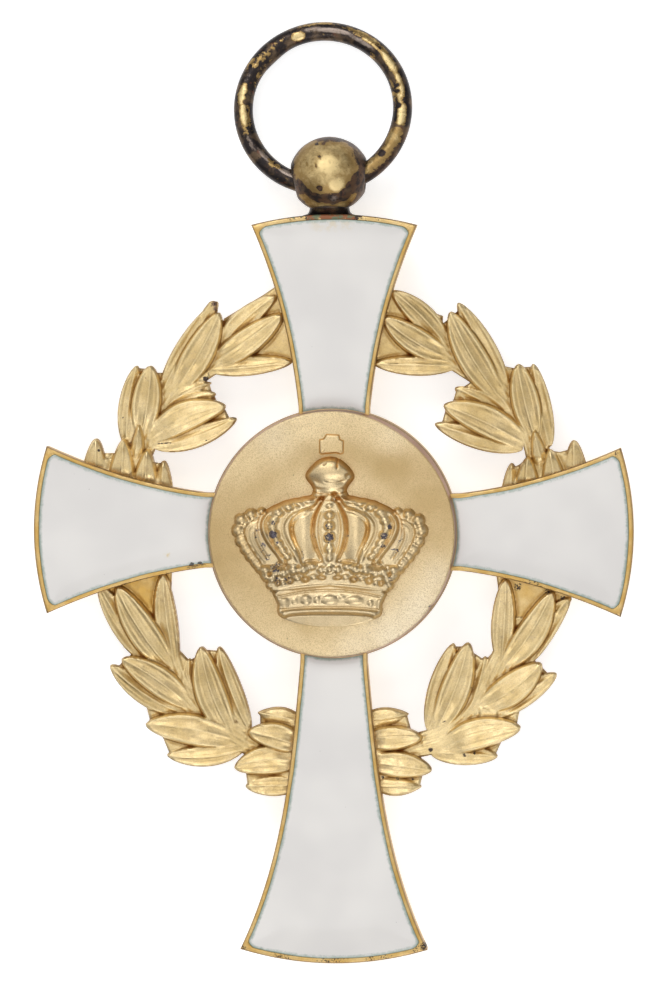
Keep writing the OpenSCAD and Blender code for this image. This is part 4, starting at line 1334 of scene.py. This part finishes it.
# The column of pearls in the middle, then the stones of the circlet
crownColumn = [
    (0.0, 3.0, 0.40, 0.30, 0.16), (0.0, 2.05, 0.56, 0.50, 0.32), (0.0, 1.0, 0.60, 0.56, 0.36),
    (0.0, -0.15, 0.62, 0.62, 0.38), (0.0, -1.25, 0.52, 0.62, 0.28), (0.0, -2.15, 0.42, 0.50, 0.20),
    (0.0, -3.35, 0.60, 0.56, 0.30), (-2.36, -6.42, 0.58, 0.46, 0.26), (-1.24, -6.38, 0.38, 0.36, 0.20),
    (0.0, -6.40, 0.98, 0.46, 0.28), (1.2, -6.16, 0.40, 0.24, 0.16), (2.45, -6.46, 0.98, 0.42, 0.26),
    (4.07, -6.70, 0.34, 0.32, 0.20), (5.0, -6.85, 0.38, 0.50, 0.22), (-4.5, -6.70, 0.52, 0.50, 0.22),
    (-3.5, -6.52, 0.36, 0.30, 0.14), (-5.1, -6.2, 0.4, 0.3, 0.1),
]
crossOutline = [(-0.52, 10.15), (0.82, 10.08), (0.92, 9.62), (1.28, 9.5), (1.25, 8.2), (0.9, 8.05),
                (0.45, 8.18), (-0.55, 8.1), (-1.05, 8.05), (-1.25, 8.2), (-1.25, 9.6), (-0.83, 9.68)]
crossShift = -0.05
# Domes of the orb, of the column and beside the orb's foot: place from the middle line, half width,
# half height, rise, power of the curve
crownDomes = [
    (0.0, 6.45, 2.25, 1.35, 0.52, 1.0), (0.1, 4.92, 1.45, 0.75, 0.30, 1.0), (0.0, 0.3, 1.65, 3.7, 0.10, 0.8),
    (-1.15, 3.9, 0.5, 0.4, 0.18, 1.0), (1.05, 4.0, 0.45, 0.45, 0.18, 1.0),
]
# Marks on the orb and at the corners of the cross: half width, rise, fade at the ends, how much
# painted brown shade, steps of the curve, points
crownMarks = [
    (0.10, -0.10, 0.12, 0.3, 6, [(-0.9, 5.42), (-0.2, 5.28), (0.6, 5.28), (1.2, 5.45)]),
    (0.28, -0.16, 0.12, 0.0, 6, [(1.4, 5.9), (2.0, 6.1), (2.2, 6.2)]),
    (0.11, -0.22, 0.15, 1.0, 1, [(0.33, 8.3), (0.58, 7.95), (0.55, 6.6)]),
    (0.09, -0.12, 0.2, 0.6, 1, [(-0.5, 7.35), (-0.85, 7.0)]),
]
cornerMarks = [
    (0.09, -0.07, 0.0, 0.8, 1, [(-1.2, 8.12), (-0.8, 8.5)]),
    (0.09, -0.07, 0.0, 0.8, 1, [(1.2, 8.12), (0.85, 8.5)]),
]
# Pits under the orb: place, radius, rise
crownPits = [(0.25, 4.15, 0.26, -0.34), (0.15, 3.62, 0.18, -0.26), (0.38, 3.45, 0.15, -0.2)]
flowerRing = {"y": -3.35, "radius": 0.34, "half": 0.10, "rise": -0.10}
# Grey spots and specks on the crown and a chip on the disc's edge: place, radius, strength
crownDirt = [
    (-5.75, 1.3, 0.26, 0.62), (-5.85, 0.15, 0.40, 1.0), (-5.35, -0.75, 0.22, 0.55),
    (-0.25, 1.0, 0.46, 0.56), (-0.2, -0.15, 0.52, 0.72), (5.3, 0.0, 0.40, 0.66), (5.85, 0.9, 0.26, 0.72),
    (5.15, -1.0, 0.24, 0.7), (-7.35, 0.2, 0.6, 0.44), (-6.9, -1.2, 0.6, 0.46), (-6.3, -2.2, 0.5, 0.46),
    (-5.6, -3.2, 0.6, 0.50), (-5.5, -4.5, 0.5, 0.50), (-4.4, -4.5, 0.5, 0.50), (6.3, -1.6, 0.6, 0.42),
    (6.9, -0.6, 0.5, 0.40), (5.9, -4.3, 0.4, 0.42), (2.4, -4.2, 0.4, 0.44), (-1.8, 0.0, 0.3, 0.46),
    (1.5, 0.0, 0.3, 0.46), (0.3, 3.6, 0.22, 0.56), (-3.0, -1.9, 0.6, 0.30), (9.7, -7.1, 0.15, 0.9),
    (-3.9, 0.9, 0.3, 0.36), (3.9, 0.9, 0.3, 0.30),
]
# Grey bloom on the outer arches, and darker toning with painted shade on the dish: place, radius, strength
crownBloom = [
    (-7.2, -0.4, 1.0, 0.34), (-6.6, -1.8, 1.0, 0.36), (7.0, -0.5, 1.0, 0.28), (6.4, -2.0, 1.0, 0.28),
    (-5.4, -3.7, 1.4, 0.40), (-5.0, -5.6, 1.8, 0.44), (-2.4, -6.0, 1.8, 0.40), (0.0, -6.2, 1.8, 0.34),
    (2.4, -6.0, 1.8, 0.30), (4.6, -6.0, 1.6, 0.30), (-2.8, -3.7, 1.8, 0.34), (0.0, -3.8, 1.8, 0.32),
    (2.6, -3.8, 1.8, 0.30), (5.2, -3.8, 1.6, 0.32), (-3.6, -8.0, 1.5, 0.52), (-1.2, -8.2, 1.6, 0.48),
    (1.2, -8.2, 1.6, 0.44), (3.6, -8.0, 1.5, 0.40),
]
discToningAndShade = [
    (-12.4, 0.8, 4.4, 0.76), (-11.6, -3.6, 3.8, 0.60), (-11.6, 5.0, 3.0, 0.30), (12.0, 1.2, 4.2, 0.70),
    (11.0, 5.0, 3.0, 0.46), (7.4, 7.4, 2.6, 0.56), (-6.5, 6.2, 3.0, 0.34), (-7.8, -8.0, 3.4, 0.36),
    (-2.5, -9.4, 1.8, 0.34), (1.6, -9.2, 1.8, 0.34), (1.8, 8.6, 2.4, 0.62), (-2.6, 8.4, 2.4, 0.50),
    (5.2, 7.2, 2.2, 0.62),
]
# Painted light on the dish, which takes off the toning and shade, then painted highlights
discLitPlaces = [
    (5.4, 10.2, 2.8, 0.34), (1.6, 11.4, 2.2, 0.34), (-1.8, 11.4, 2.2, 0.34), (-5.8, 9.9, 2.6, 0.42),
    (-8.8, 7.4, 2.2, 0.30), (5.8, -9.4, 3.4, 0.40),
]
discHighlights = [
    (5.9, -10.0, 2.4, 0.66), (8.8, -7.2, 2.2, 0.62), (10.6, -4.0, 1.8, 0.42), (2.0, -11.2, 1.8, 0.34),
    (-5.8, 10.0, 2.0, 0.30), (6.0, 10.0, 1.6, 0.20),
]


def discToneAndShade(points):
    # how far the gilding is toned, with painted shade: a ring round the dish and darker places,
    # less where painted light falls
    x, y = flatPlaces(points)
    ring = 0.24 + 0.14 * np.exp(-((np.hypot(x - discCentre[0], y - discCentre[1]) - 8.6) / 1.8) ** 2)
    tonedAndShaded, bright = softPatches(points, discToningAndShade, True), softPatches(points, discLitPlaces, True)
    return np.clip(ring + 0.46 * tonedAndShaded - 0.9 * bright, 0, 1)


def discHeight(x, y):
    size = discSizes
    away = np.hypot(np.asarray(x) - discCentre[0], np.asarray(y) - discCentre[1])
    bowl = np.clip(1 - (away / (size["radius"] - size["flat"])) ** 2, 0, 1) ** 0.9
    return levels["discEdge"] - size["dish"] * bowl


def bothSides(points):
    middle = crownSizes["middle"]
    return [(middle + x, y) for x, y in points] + [(middle - x, y) for x, y in reversed(points) if x > 0.001]


def strikeCrown(relief):
    middle = crownSizes["middle"]

    def onSide(points, side):
        return [(middle + side * x, y) for x, y in points]

    for side in (-1, 1):
        for x, y, radius, top in crownPearls:
            bold = 1.36 + 0.10 * wander(x * side, y, 0.9, 21)
            relief.raisePearl(middle + side * x, y, radius, top * bold)
    for top, wall, tint, points in crownForms:
        for side in (-1, 1):
            relief.raiseForm(smoothLine(onSide(points + points[:1], side), 4)[:-1], top, wall, tint)
    for top, wall, tint, points in crownMiddleForms + orbForms:
        relief.raiseForm(bothSides(smoothLine(points, 4)), top, wall, tint)
    for side in (-1, 1):
        relief.raiseLens(middle + side * 2.6, -0.1, 1.3, 3.3, 0.46, power=1.3)
        for half, rise, tint, points in crownLines:
            relief.raiseRidge(smoothLine(onSide(points, side)), half, rise, 0.07, tint)
        for x, y, rx, ry, rise in crownBeads:
            wide = 1.14 + 0.10 * wander(x * side, y, 0.8, 5)
            turn = 20 * wander(x * side, y, 1.3, 6)
            relief.raiseLens(middle + side * x, y, rx * wide, ry * 1.25 / wide, 1.5 * rise, turn, 0.95)
        for x, y, rx, ry, depth in crownHollows:
            relief.raiseLens(middle + side * x, y, rx, ry, -depth, 20 * wander(x * side, y, 1.1, 9), 0.7)
    for x, y, rx, ry, rise in crownColumn:
        tall, bold = (1.12, 0.75) if y < -5 else (1.0, 1.15)
        relief.raiseLens(middle + x, y, rx, ry * tall, bold * rise, power=0.85)
    for half, rise, tint, points in circletLines:
        whole = onSide(points, -1) + onSide(points[:-1], 1)[::-1]
        relief.raiseRidge(smoothLine(whole), half, rise, 0.02, tint)
    radius, half, rise = flowerRing["radius"], flowerRing["half"], flowerRing["rise"]
    turns = [math.radians(a) for a in range(0, 361, 30)]
    circle = [(middle + radius * math.cos(a), flowerRing["y"] + radius * math.sin(a)) for a in turns]
    relief.raiseRidge(circle, half, rise, 0)
    for x, y, rx, ry, rise, power in crownDomes:
        relief.raiseLens(middle + x, y, rx, ry, rise, power=power)
    relief.raiseMarks(crownMarks)
    for pit in crownPits:
        relief.raiseBead(*pit)


def buildDisc(material):
    size = discSizes
    radii = list(np.arange(size["spacing"], size["radius"] - 0.25, size["spacing"]))
    wall = levels["discEdge"] - levels["discFoot"]
    edge = [(size["radius"] + out, drop) for out, drop in discRounding]
    edge += [(size["foot"] - 0.02, wall - 0.06), (size["foot"] - 0.06, wall)]
    points, side = [], []
    for step, (radius, drop) in enumerate([(r, 0.0) for r in radii] + edge):
        for turn in aroundAxis(size["around"]):
            out = radius
            if radius > 11:
                out += 0.05 * wander(math.cos(turn) * 4, math.sin(turn) * 4, 1.3, 17)
                for place, spread, depth, lowest in discChips:
                    out -= depth * math.exp(-(math.degrees(turn - place) / spread) ** 2) * (drop < lowest)
            x, y = discCentre[0] + out * math.cos(turn), discCentre[1] + out * math.sin(turn)
            z = float(discHeight(x, y)) if step < len(radii) else levels["discEdge"]
            points.append((x, y, z - drop + 0.012 * wander(x, y, 2.4, 31) * (drop < 0.1)))
            side.append(1.0 if drop > 0.15 else 0.0)
    # a faint brown shadow round the top of the crown
    x, y = flatPlaces(points)
    outlines = [bothSides(form[3]) for form in (orbForms[1], crownMiddleForms[0])]
    away = np.minimum(*[loopDistance(x, y, outline) for outline in outlines])
    onFace = 1 - np.array(side)
    paint = {
        "halo": 0.34 * np.exp(-(away / 0.45) ** 2) * (y > 1.5),
        "dirtAndShade": softPatches(points, crownDirt),
        # painted shade on the side wall
        "edgeShadeAndBreak": side,
        # toning with painted shade, then painted highlights, on the dish's face
        "tone": discToneAndShade(points) * onFace,
        "paintedHighlight": softPatches(points, discHighlights, True) * onFace,
    }
    faces = cappedFaces(len(radii) + len(edge), size["around"])
    makePiece("medallion_disc", points, faces, material, "badge", ["medallion"], 40, paint)


def buildCrown(material):
    size = crownSizes
    relief = Relief(-10.6, -9.5, 10.2, 10.6, size["step"], 0.0)
    strikeCrown(relief)
    # the cross over the orb is only a cut outline
    cross = [(x + crossShift, y) for x, y in crossOutline]
    box, depth = relief.toShape(cross, 0.3)
    plate = 0.045 + 0.075 * np.clip(depth / 0.10, 0, 1)
    relief.merge(box, np.where(depth > 0, plate, -9.0), depth)
    relief.raiseRidge(cross + cross[:1], 0.15, -0.15, 0)
    relief.raiseMarks(cornerMarks)
    span = np.clip(np.abs(relief.x - size["middle"]) / size["halfWidth"], 0, 1)
    relief.height *= 1 - size["fallToSides"] * span ** 2
    relief.height = size["boldness"] * relief.blurred(relief.height, 1)
    # the painted brown shade in the hollows fades on the circlet and in the panels beside the column
    upper = 0.22 + 0.78 * smoothStep((relief.y + 2.2) / 3.5)
    fromPanel = np.hypot((np.abs(relief.x - size["middle"]) - 3.3) / 1.1, (relief.y + 0.3) / 2.7)
    upper *= 0.12 + 0.88 * smoothStep((fromPanel - 0.9) / 0.35)
    halo = relief.blurred(relief.stain * upper, 1)
    # painted brown shade in the cut outline of the cross
    halo[box] = np.maximum(halo[box], 1.1 * np.exp(-((depth - 0.02) / 0.12) ** 2))
    # painted shade where the surface lies below the metal round it
    hollowShadeAndTone = (relief.blurred(relief.height, 5) - relief.height) / 0.11
    hollowShadeAndTone *= 0.15 + 0.85 * smoothStep((fromPanel - 0.85) / 0.3)
    relief.height = np.maximum(relief.height, 0.03) + discHeight(relief.x, relief.y)
    points, faces, cells = relief.solid(0.0, size["sink"], plainBack=True)
    paint = {
        "hollowShadeAndTone": relief.sample(hollowShadeAndTone, cells, count=len(points)),
        "halo": relief.sample(halo, cells, count=len(points)),
        "dirtAndShade": softPatches(points, crownDirt),
        "bloom": softPatches(points, crownBloom),
        # toning with painted shade, as on the dish
        "tone": 0.8 * discToneAndShade(points),
    }
    makePiece("medallion_crown", points, faces, material, "badge", ["medallion"], 70, paint)


# Outline of the hub and the boss from front to back: radius, height
hubProfile = [(12.3, 5.08), (12.5, 5.02), (12.55, 4.9), (12.55, 2.65), (12.4, 2.5), (10.62, 2.5),
              (10.5, 2.38), (10.5, 0.22), (10.32, 0.03), (10.1, 0.0)]


def buildHub(gilt):
    count = 192
    points = []
    for radius, z in hubProfile:
        # the boss is centred on the origin, the hub on the disc
        centreY = discCentre[1] if z > 2.45 else 0.0
        for turn in aroundAxis(count):
            points.append((radius * math.cos(turn), centreY + radius * math.sin(turn), z))
    # painted shade: a little over the hub, more on its top edge round the disc
    paint = {"hollowShadeAndTone": np.full(len(points), 0.1), "edgeShadeAndBreak": [0.9 * (p[2] > 4.0) for p in points]}
    faces = cappedFaces(len(hubProfile), count)
    makePiece("hub_and_boss", points, faces, gilt, "badge", ["cross_frame"], 30, paint)


# Ball, collar and ring
ballLook = {
    "centre": (-0.35, 36.05, 3.8),
    "boreY": 35.6,
    "radius": 3.8,
    "bore": 1.64,
    "mouth": 1.50,
    "lip": 0.10,
    "stretch": 0.07,
    "skew": 5.0,
    "around": 96,
    "rows": 60,
}
# Dents and flats: direction from the centre, angle that they cover, depth
ballDents = [
    ((0.72, 0.62, 0.32), 24, 0.10), ((0.35, 0.9, 0.2), 20, 0.06), ((-0.1, 0.5, 0.85), 9, 0.04),
    ((0.5, -0.7, 0.5), 26, -0.06), ((-0.55, -0.75, 0.2), 26, -0.06),
]
# Worn brass on the ball, with painted highlights at its middle: direction, angle, strength; then what
# the tarnish still covers, with painted shade towards the ball's edges; then painted grey sheen
ballWearAndHighlights = [
    ((0.0, 0.26, 0.96), 21, 0.95), ((-0.35, 0.1, 0.93), 20, 0.62), ((-0.1, 0.35, 0.92), 60, 0.62),
    ((0.22, -0.29, 0.93), 15, 0.86), ((-0.6, 0.25, 0.75), 26, 0.42), ((0.35, 0.62, 0.70), 20, 0.40),
    ((-0.2, 0.75, 0.60), 26, 0.34), ((0.5, 0.1, 0.85), 18, 0.42), ((-0.6, -0.6, 0.53), 11, 0.52),
    ((-0.4, -0.8, 0.45), 13, 0.60), ((-0.1, -0.88, 0.45), 14, 0.66), ((0.3, -0.85, 0.43), 13, 0.64),
    ((0.6, -0.64, 0.48), 10, 0.58), ((-0.55, -0.2, 0.80), 14, 0.34), ((-0.85, -0.3, 0.40), 10, 0.30),
]
ballTarnishAndEdgeShade = [
    ((-0.50, -0.50, 0.72), 6, 0.8), ((-0.30, -0.62, 0.74), 7, 0.9), ((-0.05, -0.66, 0.76), 8, 0.9),
    ((0.2, -0.64, 0.76), 7, 0.9), ((0.40, -0.50, 0.78), 6, 0.9), ((0.56, -0.34, 0.76), 7, 0.9),
    ((0.72, -0.14, 0.68), 9, 0.8), ((0.85, -0.25, 0.45), 12, 0.8), ((0.75, -0.62, 0.25), 14, 0.6),
    ((-0.20, -0.37, 0.91), 4, 0.9), ((0.92, 0.15, 0.38), 15, 0.6), ((-0.95, 0.1, 0.25), 12, 0.5),
    ((0.68, 0.42, 0.60), 12, 0.18), ((-0.70, -0.36, 0.62), 12, 0.50), ((0.0, 0.95, 0.32), 20, 0.34),
    ((-0.21, 0.44, 0.87), 2.6, 0.9), ((-0.29, 0.22, 0.93), 2.2, 0.9), ((-0.53, 0.26, 0.81), 1.8, 0.6),
    ((-0.3, 0.79, 0.53), 3.5, 0.6), ((-0.13, 0.80, 0.58), 4, 0.5), ((-0.95, -0.25, 0.2), 12, 0.5),
]
ballSheen = [((0.0, 0.93, 0.3), 34, 0.35), ((0.15, -0.66, 0.74), 9, 0.5)]


def directionPatches(directions, patches):
    total = np.zeros(len(directions))
    for aim, angle, strength in patches:
        aim = np.array(aim, float) / np.linalg.norm(aim)
        between = np.degrees(np.arccos(np.clip(directions @ aim, -1, 1)))
        total = np.maximum(total, strength * smoothStep(1.4 - between / angle))
    return total


def buildBall(material):
    look = ballLook
    cx, cy, cz = look["centre"]
    skew = math.radians(look["skew"])
    axis, up = Vector((math.cos(skew), math.sin(skew), 0)), Vector((0, 0, 1))
    side = up.cross(axis)
    centre, start = Vector((cx, cy, cz)), Vector((cx, look["boreY"], cz))
    radius, mouth, count, rows = look["radius"], look["mouth"], look["around"], look["rows"]
    outwards = [side * math.cos(turn) + up * math.sin(turn) for turn in aroundAxis(count)]
    points, directions = [], []
    for r in range(rows + 1):
        # the outside, from one mouth of the bore to the other
        sweep = -1 + 2 * r / rows
        for outward in outwards:
            # the places where the sphere meets the bore on this side of the axis
            rim = start + outward * mouth - centre
            rim -= axis * rim.dot(axis)
            reach = axis * math.sqrt(radius ** 2 - rim.length_squared)
            middle = outward * radius
            a, b = (rim - reach, middle) if sweep < 0 else (middle, rim + reach)
            share = sweep + 1 if sweep < 0 else sweep
            aim = a.normalized().slerp(b.normalized(), share)
            length = radius + 0.03 * noise.noise(aim * 2.2) - 0.03
            for dent, angle, depth in ballDents:
                length -= depth * float(smoothStep(1.3 - math.degrees(aim.angle(Vector(dent))) / angle))
            edge = share if sweep < 0 else 1 - share
            length -= look["lip"] * max(0.0, 1 - edge / 0.08) ** 2
            points.append(centre + aim * length + axis * (aim.dot(axis) * length * look["stretch"]))
            directions.append(tuple(aim))
    for r in range(1, 6):
        # back through the bore
        for i, outward in enumerate(outwards):
            high, low = points[rows * count + i], points[i]
            along = (high - start).dot(axis) * (1 - r / 6) + (low - start).dot(axis) * r / 6
            wide = mouth + (look["bore"] - mouth) * math.sin(math.pi * r / 6)
            points.append(start + axis * along + outward * wide)
            directions.append(tuple(outward))
    directions = np.array(directions)
    # worn brass with painted highlights, and tarnish with painted shade towards the edges
    bright = directionPatches(directions, ballWearAndHighlights) - directionPatches(directions, ballTarnishAndEdgeShade)
    bright[(rows + 1) * count:] = -0.3
    # painted grey sheen
    sheen = directionPatches(directions, ballSheen)
    paint = {"wearAndHighlight": bright, "paintedSheen": sheen, "calm": np.ones(len(directions))}
    faces = ringFaces(rows + 6, count, closed=True)
    makePiece("suspension_ball", [tuple(p) for p in points], faces, material, "badge", ["cross_frame"],
              55, paint)


# Neck between the ball and the arm, flaring into a ragged fillet of solder: y, radius
collarProfile = [(33.6, 2.0), (33.0, 2.0), (32.7, 2.0), (32.45, 2.03), (32.25, 2.10), (32.1, 2.26),
                 (31.95, 2.75), (31.4, 2.4)]


def buildCollar(material):
    count = 72
    points = []
    for y, radius in collarProfile:
        for turn in aroundAxis(count):
            flat = 1.0 if y > 32.6 else 0.9 * (1 - 0.54 * min(1, (32.6 - y) / 0.5))
            wobble = 1 + 0.05 * wander(math.cos(turn) * 3, math.sin(turn) * 3 + y, 1.2, 14) * (y < 32.9)
            x = ballLook["centre"][0] + radius * math.cos(turn) * wobble
            z = levels["middle"] + radius * math.sin(turn) * wobble * flat
            points.append((x, y + (0.08 * wander(turn * 2, y, 0.8, 3) if y < 32.4 else 0), z))
    paint = {"wearAndHighlight": [-0.30] * len(points), "paintedSheen": [-0.5] * len(points)}
    faces = cappedFaces(len(collarProfile), count)
    makePiece("collar", points, faces, material, "badge", ["cross_frame"], 50, paint)


ringLook = {
    "centreDrop": 7.25,
    "radius": 7.89,
    "wire": 0.93,
    "oval": 1.014,
    "broad": 1.025,
    "skew": 6.0,
    "inBall": 22,
    "lumpAt": -38,
    "lumpSpread": 13,
    "lump": 0.16,
    "calmAt": 133,
    "calmSpread": 20,
    "calm": 0.8,
    "around": 420,
    "section": 48,
}
# Worn brass on the ring: clock angle in degrees from its top, spread, side of the wire from -1
# inside to 1 outside, spread of that, strength; then tarnish left on it, then painted grey sheen
ringBright = [
    (-135, 7, -0.33, 0.35, 0.55), (-104, 5, 0.1, 0.35, 0.36), (-90, 8, -0.05, 0.38, 0.98),
    (-75, 8, 0.15, 0.42, 0.98), (-90, 12, -0.55, 0.20, 0.42), (-58, 16, -0.75, 0.25, 0.36),
    (-52, 5, 0.6, 0.35, 0.34), (-51, 4, 0.1, 0.35, 0.46), (-42, 7, 0.0, 0.5, 0.34),
    (-32, 6, 0.1, 0.5, 0.30), (-25, 4, 0.2, 0.4, 0.28), (-13, 5, -0.3, 0.42, 1.05), (-5, 7, 0.7, 0.2, 0.45),
    (8, 10, 0.75, 0.2, 0.46), (38, 18, 0.5, 0.28, 0.55), (45, 14, 0.1, 0.15, 0.70),
    (62, 11, 0.1, 0.42, 0.98), (49, 4, -0.75, 0.3, 0.40), (80, 10, 0.15, 0.30, 0.90),
    (88, 12, -0.1, 0.35, 0.85), (102, 10, 0.0, 0.45, 1.0), (85, 14, -0.7, 0.25, 0.42),
    (120, 12, -0.1, 0.75, 0.60), (134, 12, -0.1, 0.75, 0.52), (147, 10, -0.1, 0.75, 0.52),
    (118, 4, -0.35, 0.3, 0.70), (146, 4, -0.4, 0.25, 0.70),
]
ringDark = [
    (-80, 1.5, -0.25, 0.3, 0.7), (-75, 1.2, -0.3, 0.25, 0.7), (-36, 2, 0.45, 0.3, 0.6),
    (-60, 6, -0.3, 0.3, 0.5), (80, 1.5, -0.1, 0.25, 0.8), (84.5, 1.5, -0.25, 0.2, 0.8),
    (95.5, 2, -0.3, 0.25, 0.9), (92, 3, 0.05, 0.2, 0.35), (111, 1, 0.0, 0.8, 0.5),
    (135, 3, -0.25, 0.35, 0.45), (60, 7, -0.55, 0.3, 0.6), (88, 20, 0.92, 0.28, 0.9),
]
ringSheen = [
    (14, 16, -0.05, 0.30, 0.95), (36, 12, -0.25, 0.30, 0.80), (8, 14, -0.7, 0.35, 0.5),
    (-2, 8, 0.1, 0.4, 0.7), (-148, 10, -0.33, 0.30, 0.95), (-125, 9, -0.33, 0.30, 0.80),
    (-112, 8, 0.1, 0.3, 0.65), (-62, 5, 0.2, 0.4, 0.55),
]


def ringPatch(table, degrees, side, high):
    best = 0.0
    for at, spreadAt, where, spreadWhere, strength in table:
        gap = abs((degrees - at + 180) % 360 - 180) / spreadAt
        drift = abs(side - where) / spreadWhere if high > -0.2 else 2
        best = max(best, strength * float(smoothStep(1.5 - math.hypot(gap, drift))))
    return best


def buildRing(material):
    look = ringLook
    cx, _, cz = ballLook["centre"]
    lean = math.asin((cz - look["wire"]) / (look["centreDrop"] + look["radius"]))
    turnIn = Matrix.Rotation(math.radians(look["skew"]), 3, "Z") @ Matrix.Rotation(-lean, 3, "X")
    start, rise = Vector((cx, ballLook["boreY"], cz)), Vector((0, look["centreDrop"], 0))
    points, bright, sheen, calm = [], [], [], []
    for clock in aroundAxis(look["around"]):
        out = Vector((math.sin(clock), math.cos(clock), 0))
        degrees = (math.degrees(clock) + 180) % 360 - 180
        inBall = math.exp(-((abs(degrees) - 180) / look["inBall"]) ** 4)
        broad = look["broad"] if inBall < 0.5 else 1.0
        for turn in aroundAxis(look["section"]):
            side, high = math.cos(turn), math.sin(turn)
            uneven = noise.noise(Vector((out.x * 2.3, out.y * 2.3, side * 0.6 + high)))
            # the inside is thicker and flattened at the upper left
            lump = math.exp(-((degrees - look["lumpAt"]) / look["lumpSpread"]) ** 2) * max(0.0, -side) ** 2
            wire = look["wire"] * (0.99 + 0.01 * uneven) + look["lump"] * lump
            wire = wire * (1 - inBall) + look["wire"] * inBall
            local = out * (look["radius"] + wire * side * broad) + rise
            local.x *= look["oval"]
            local.z += wire * high
            points.append(tuple(start + turnIn @ local))
            wearAndHighlight, left = ringPatch(ringBright, degrees, side, high), ringPatch(ringDark, degrees, side, high)
            bright.append(wearAndHighlight - left - 0.10)
            # painted grey sheen
            sheen.append(ringPatch(ringSheen, degrees, side, high) - 0.15)
            calm.append(look["calm"] * math.exp(-((degrees - look["calmAt"]) / look["calmSpread"]) ** 4))
    faces = ringFaces(look["around"], look["section"], closed=True)
    paint = {"wearAndHighlight": bright, "paintedSheen": sheen, "calm": calm}
    makePiece("neck_ring", points, faces, material, "ring", ["suspension_ring"], 60, paint)


# Everything together
placeCamera(cameraSetup)
lightStudio()
layFloor()
print("camera, light and floor ready")

gilt, enamel, tarnish = makeGilt(), makeEnamel(), makeTarnish()
matt, struck = makeMattGilding("mattGilding", 0.40, 0.07), makeMattGilding("struckGilding", 0.36, 0.014)
for name, arm in armShapes.items():
    buildArm(name, arm, gilt, enamel)
print("arms and enamel made")
for name in leafTables:
    buildQuarter(name, gilt)
print("wreath made")
buildDisc(matt)
buildCrown(struck)
buildHub(gilt)
print("medallion made")
buildBall(tarnish)
buildCollar(tarnish)
buildRing(tarnish)
print("ball, collar and ring made")
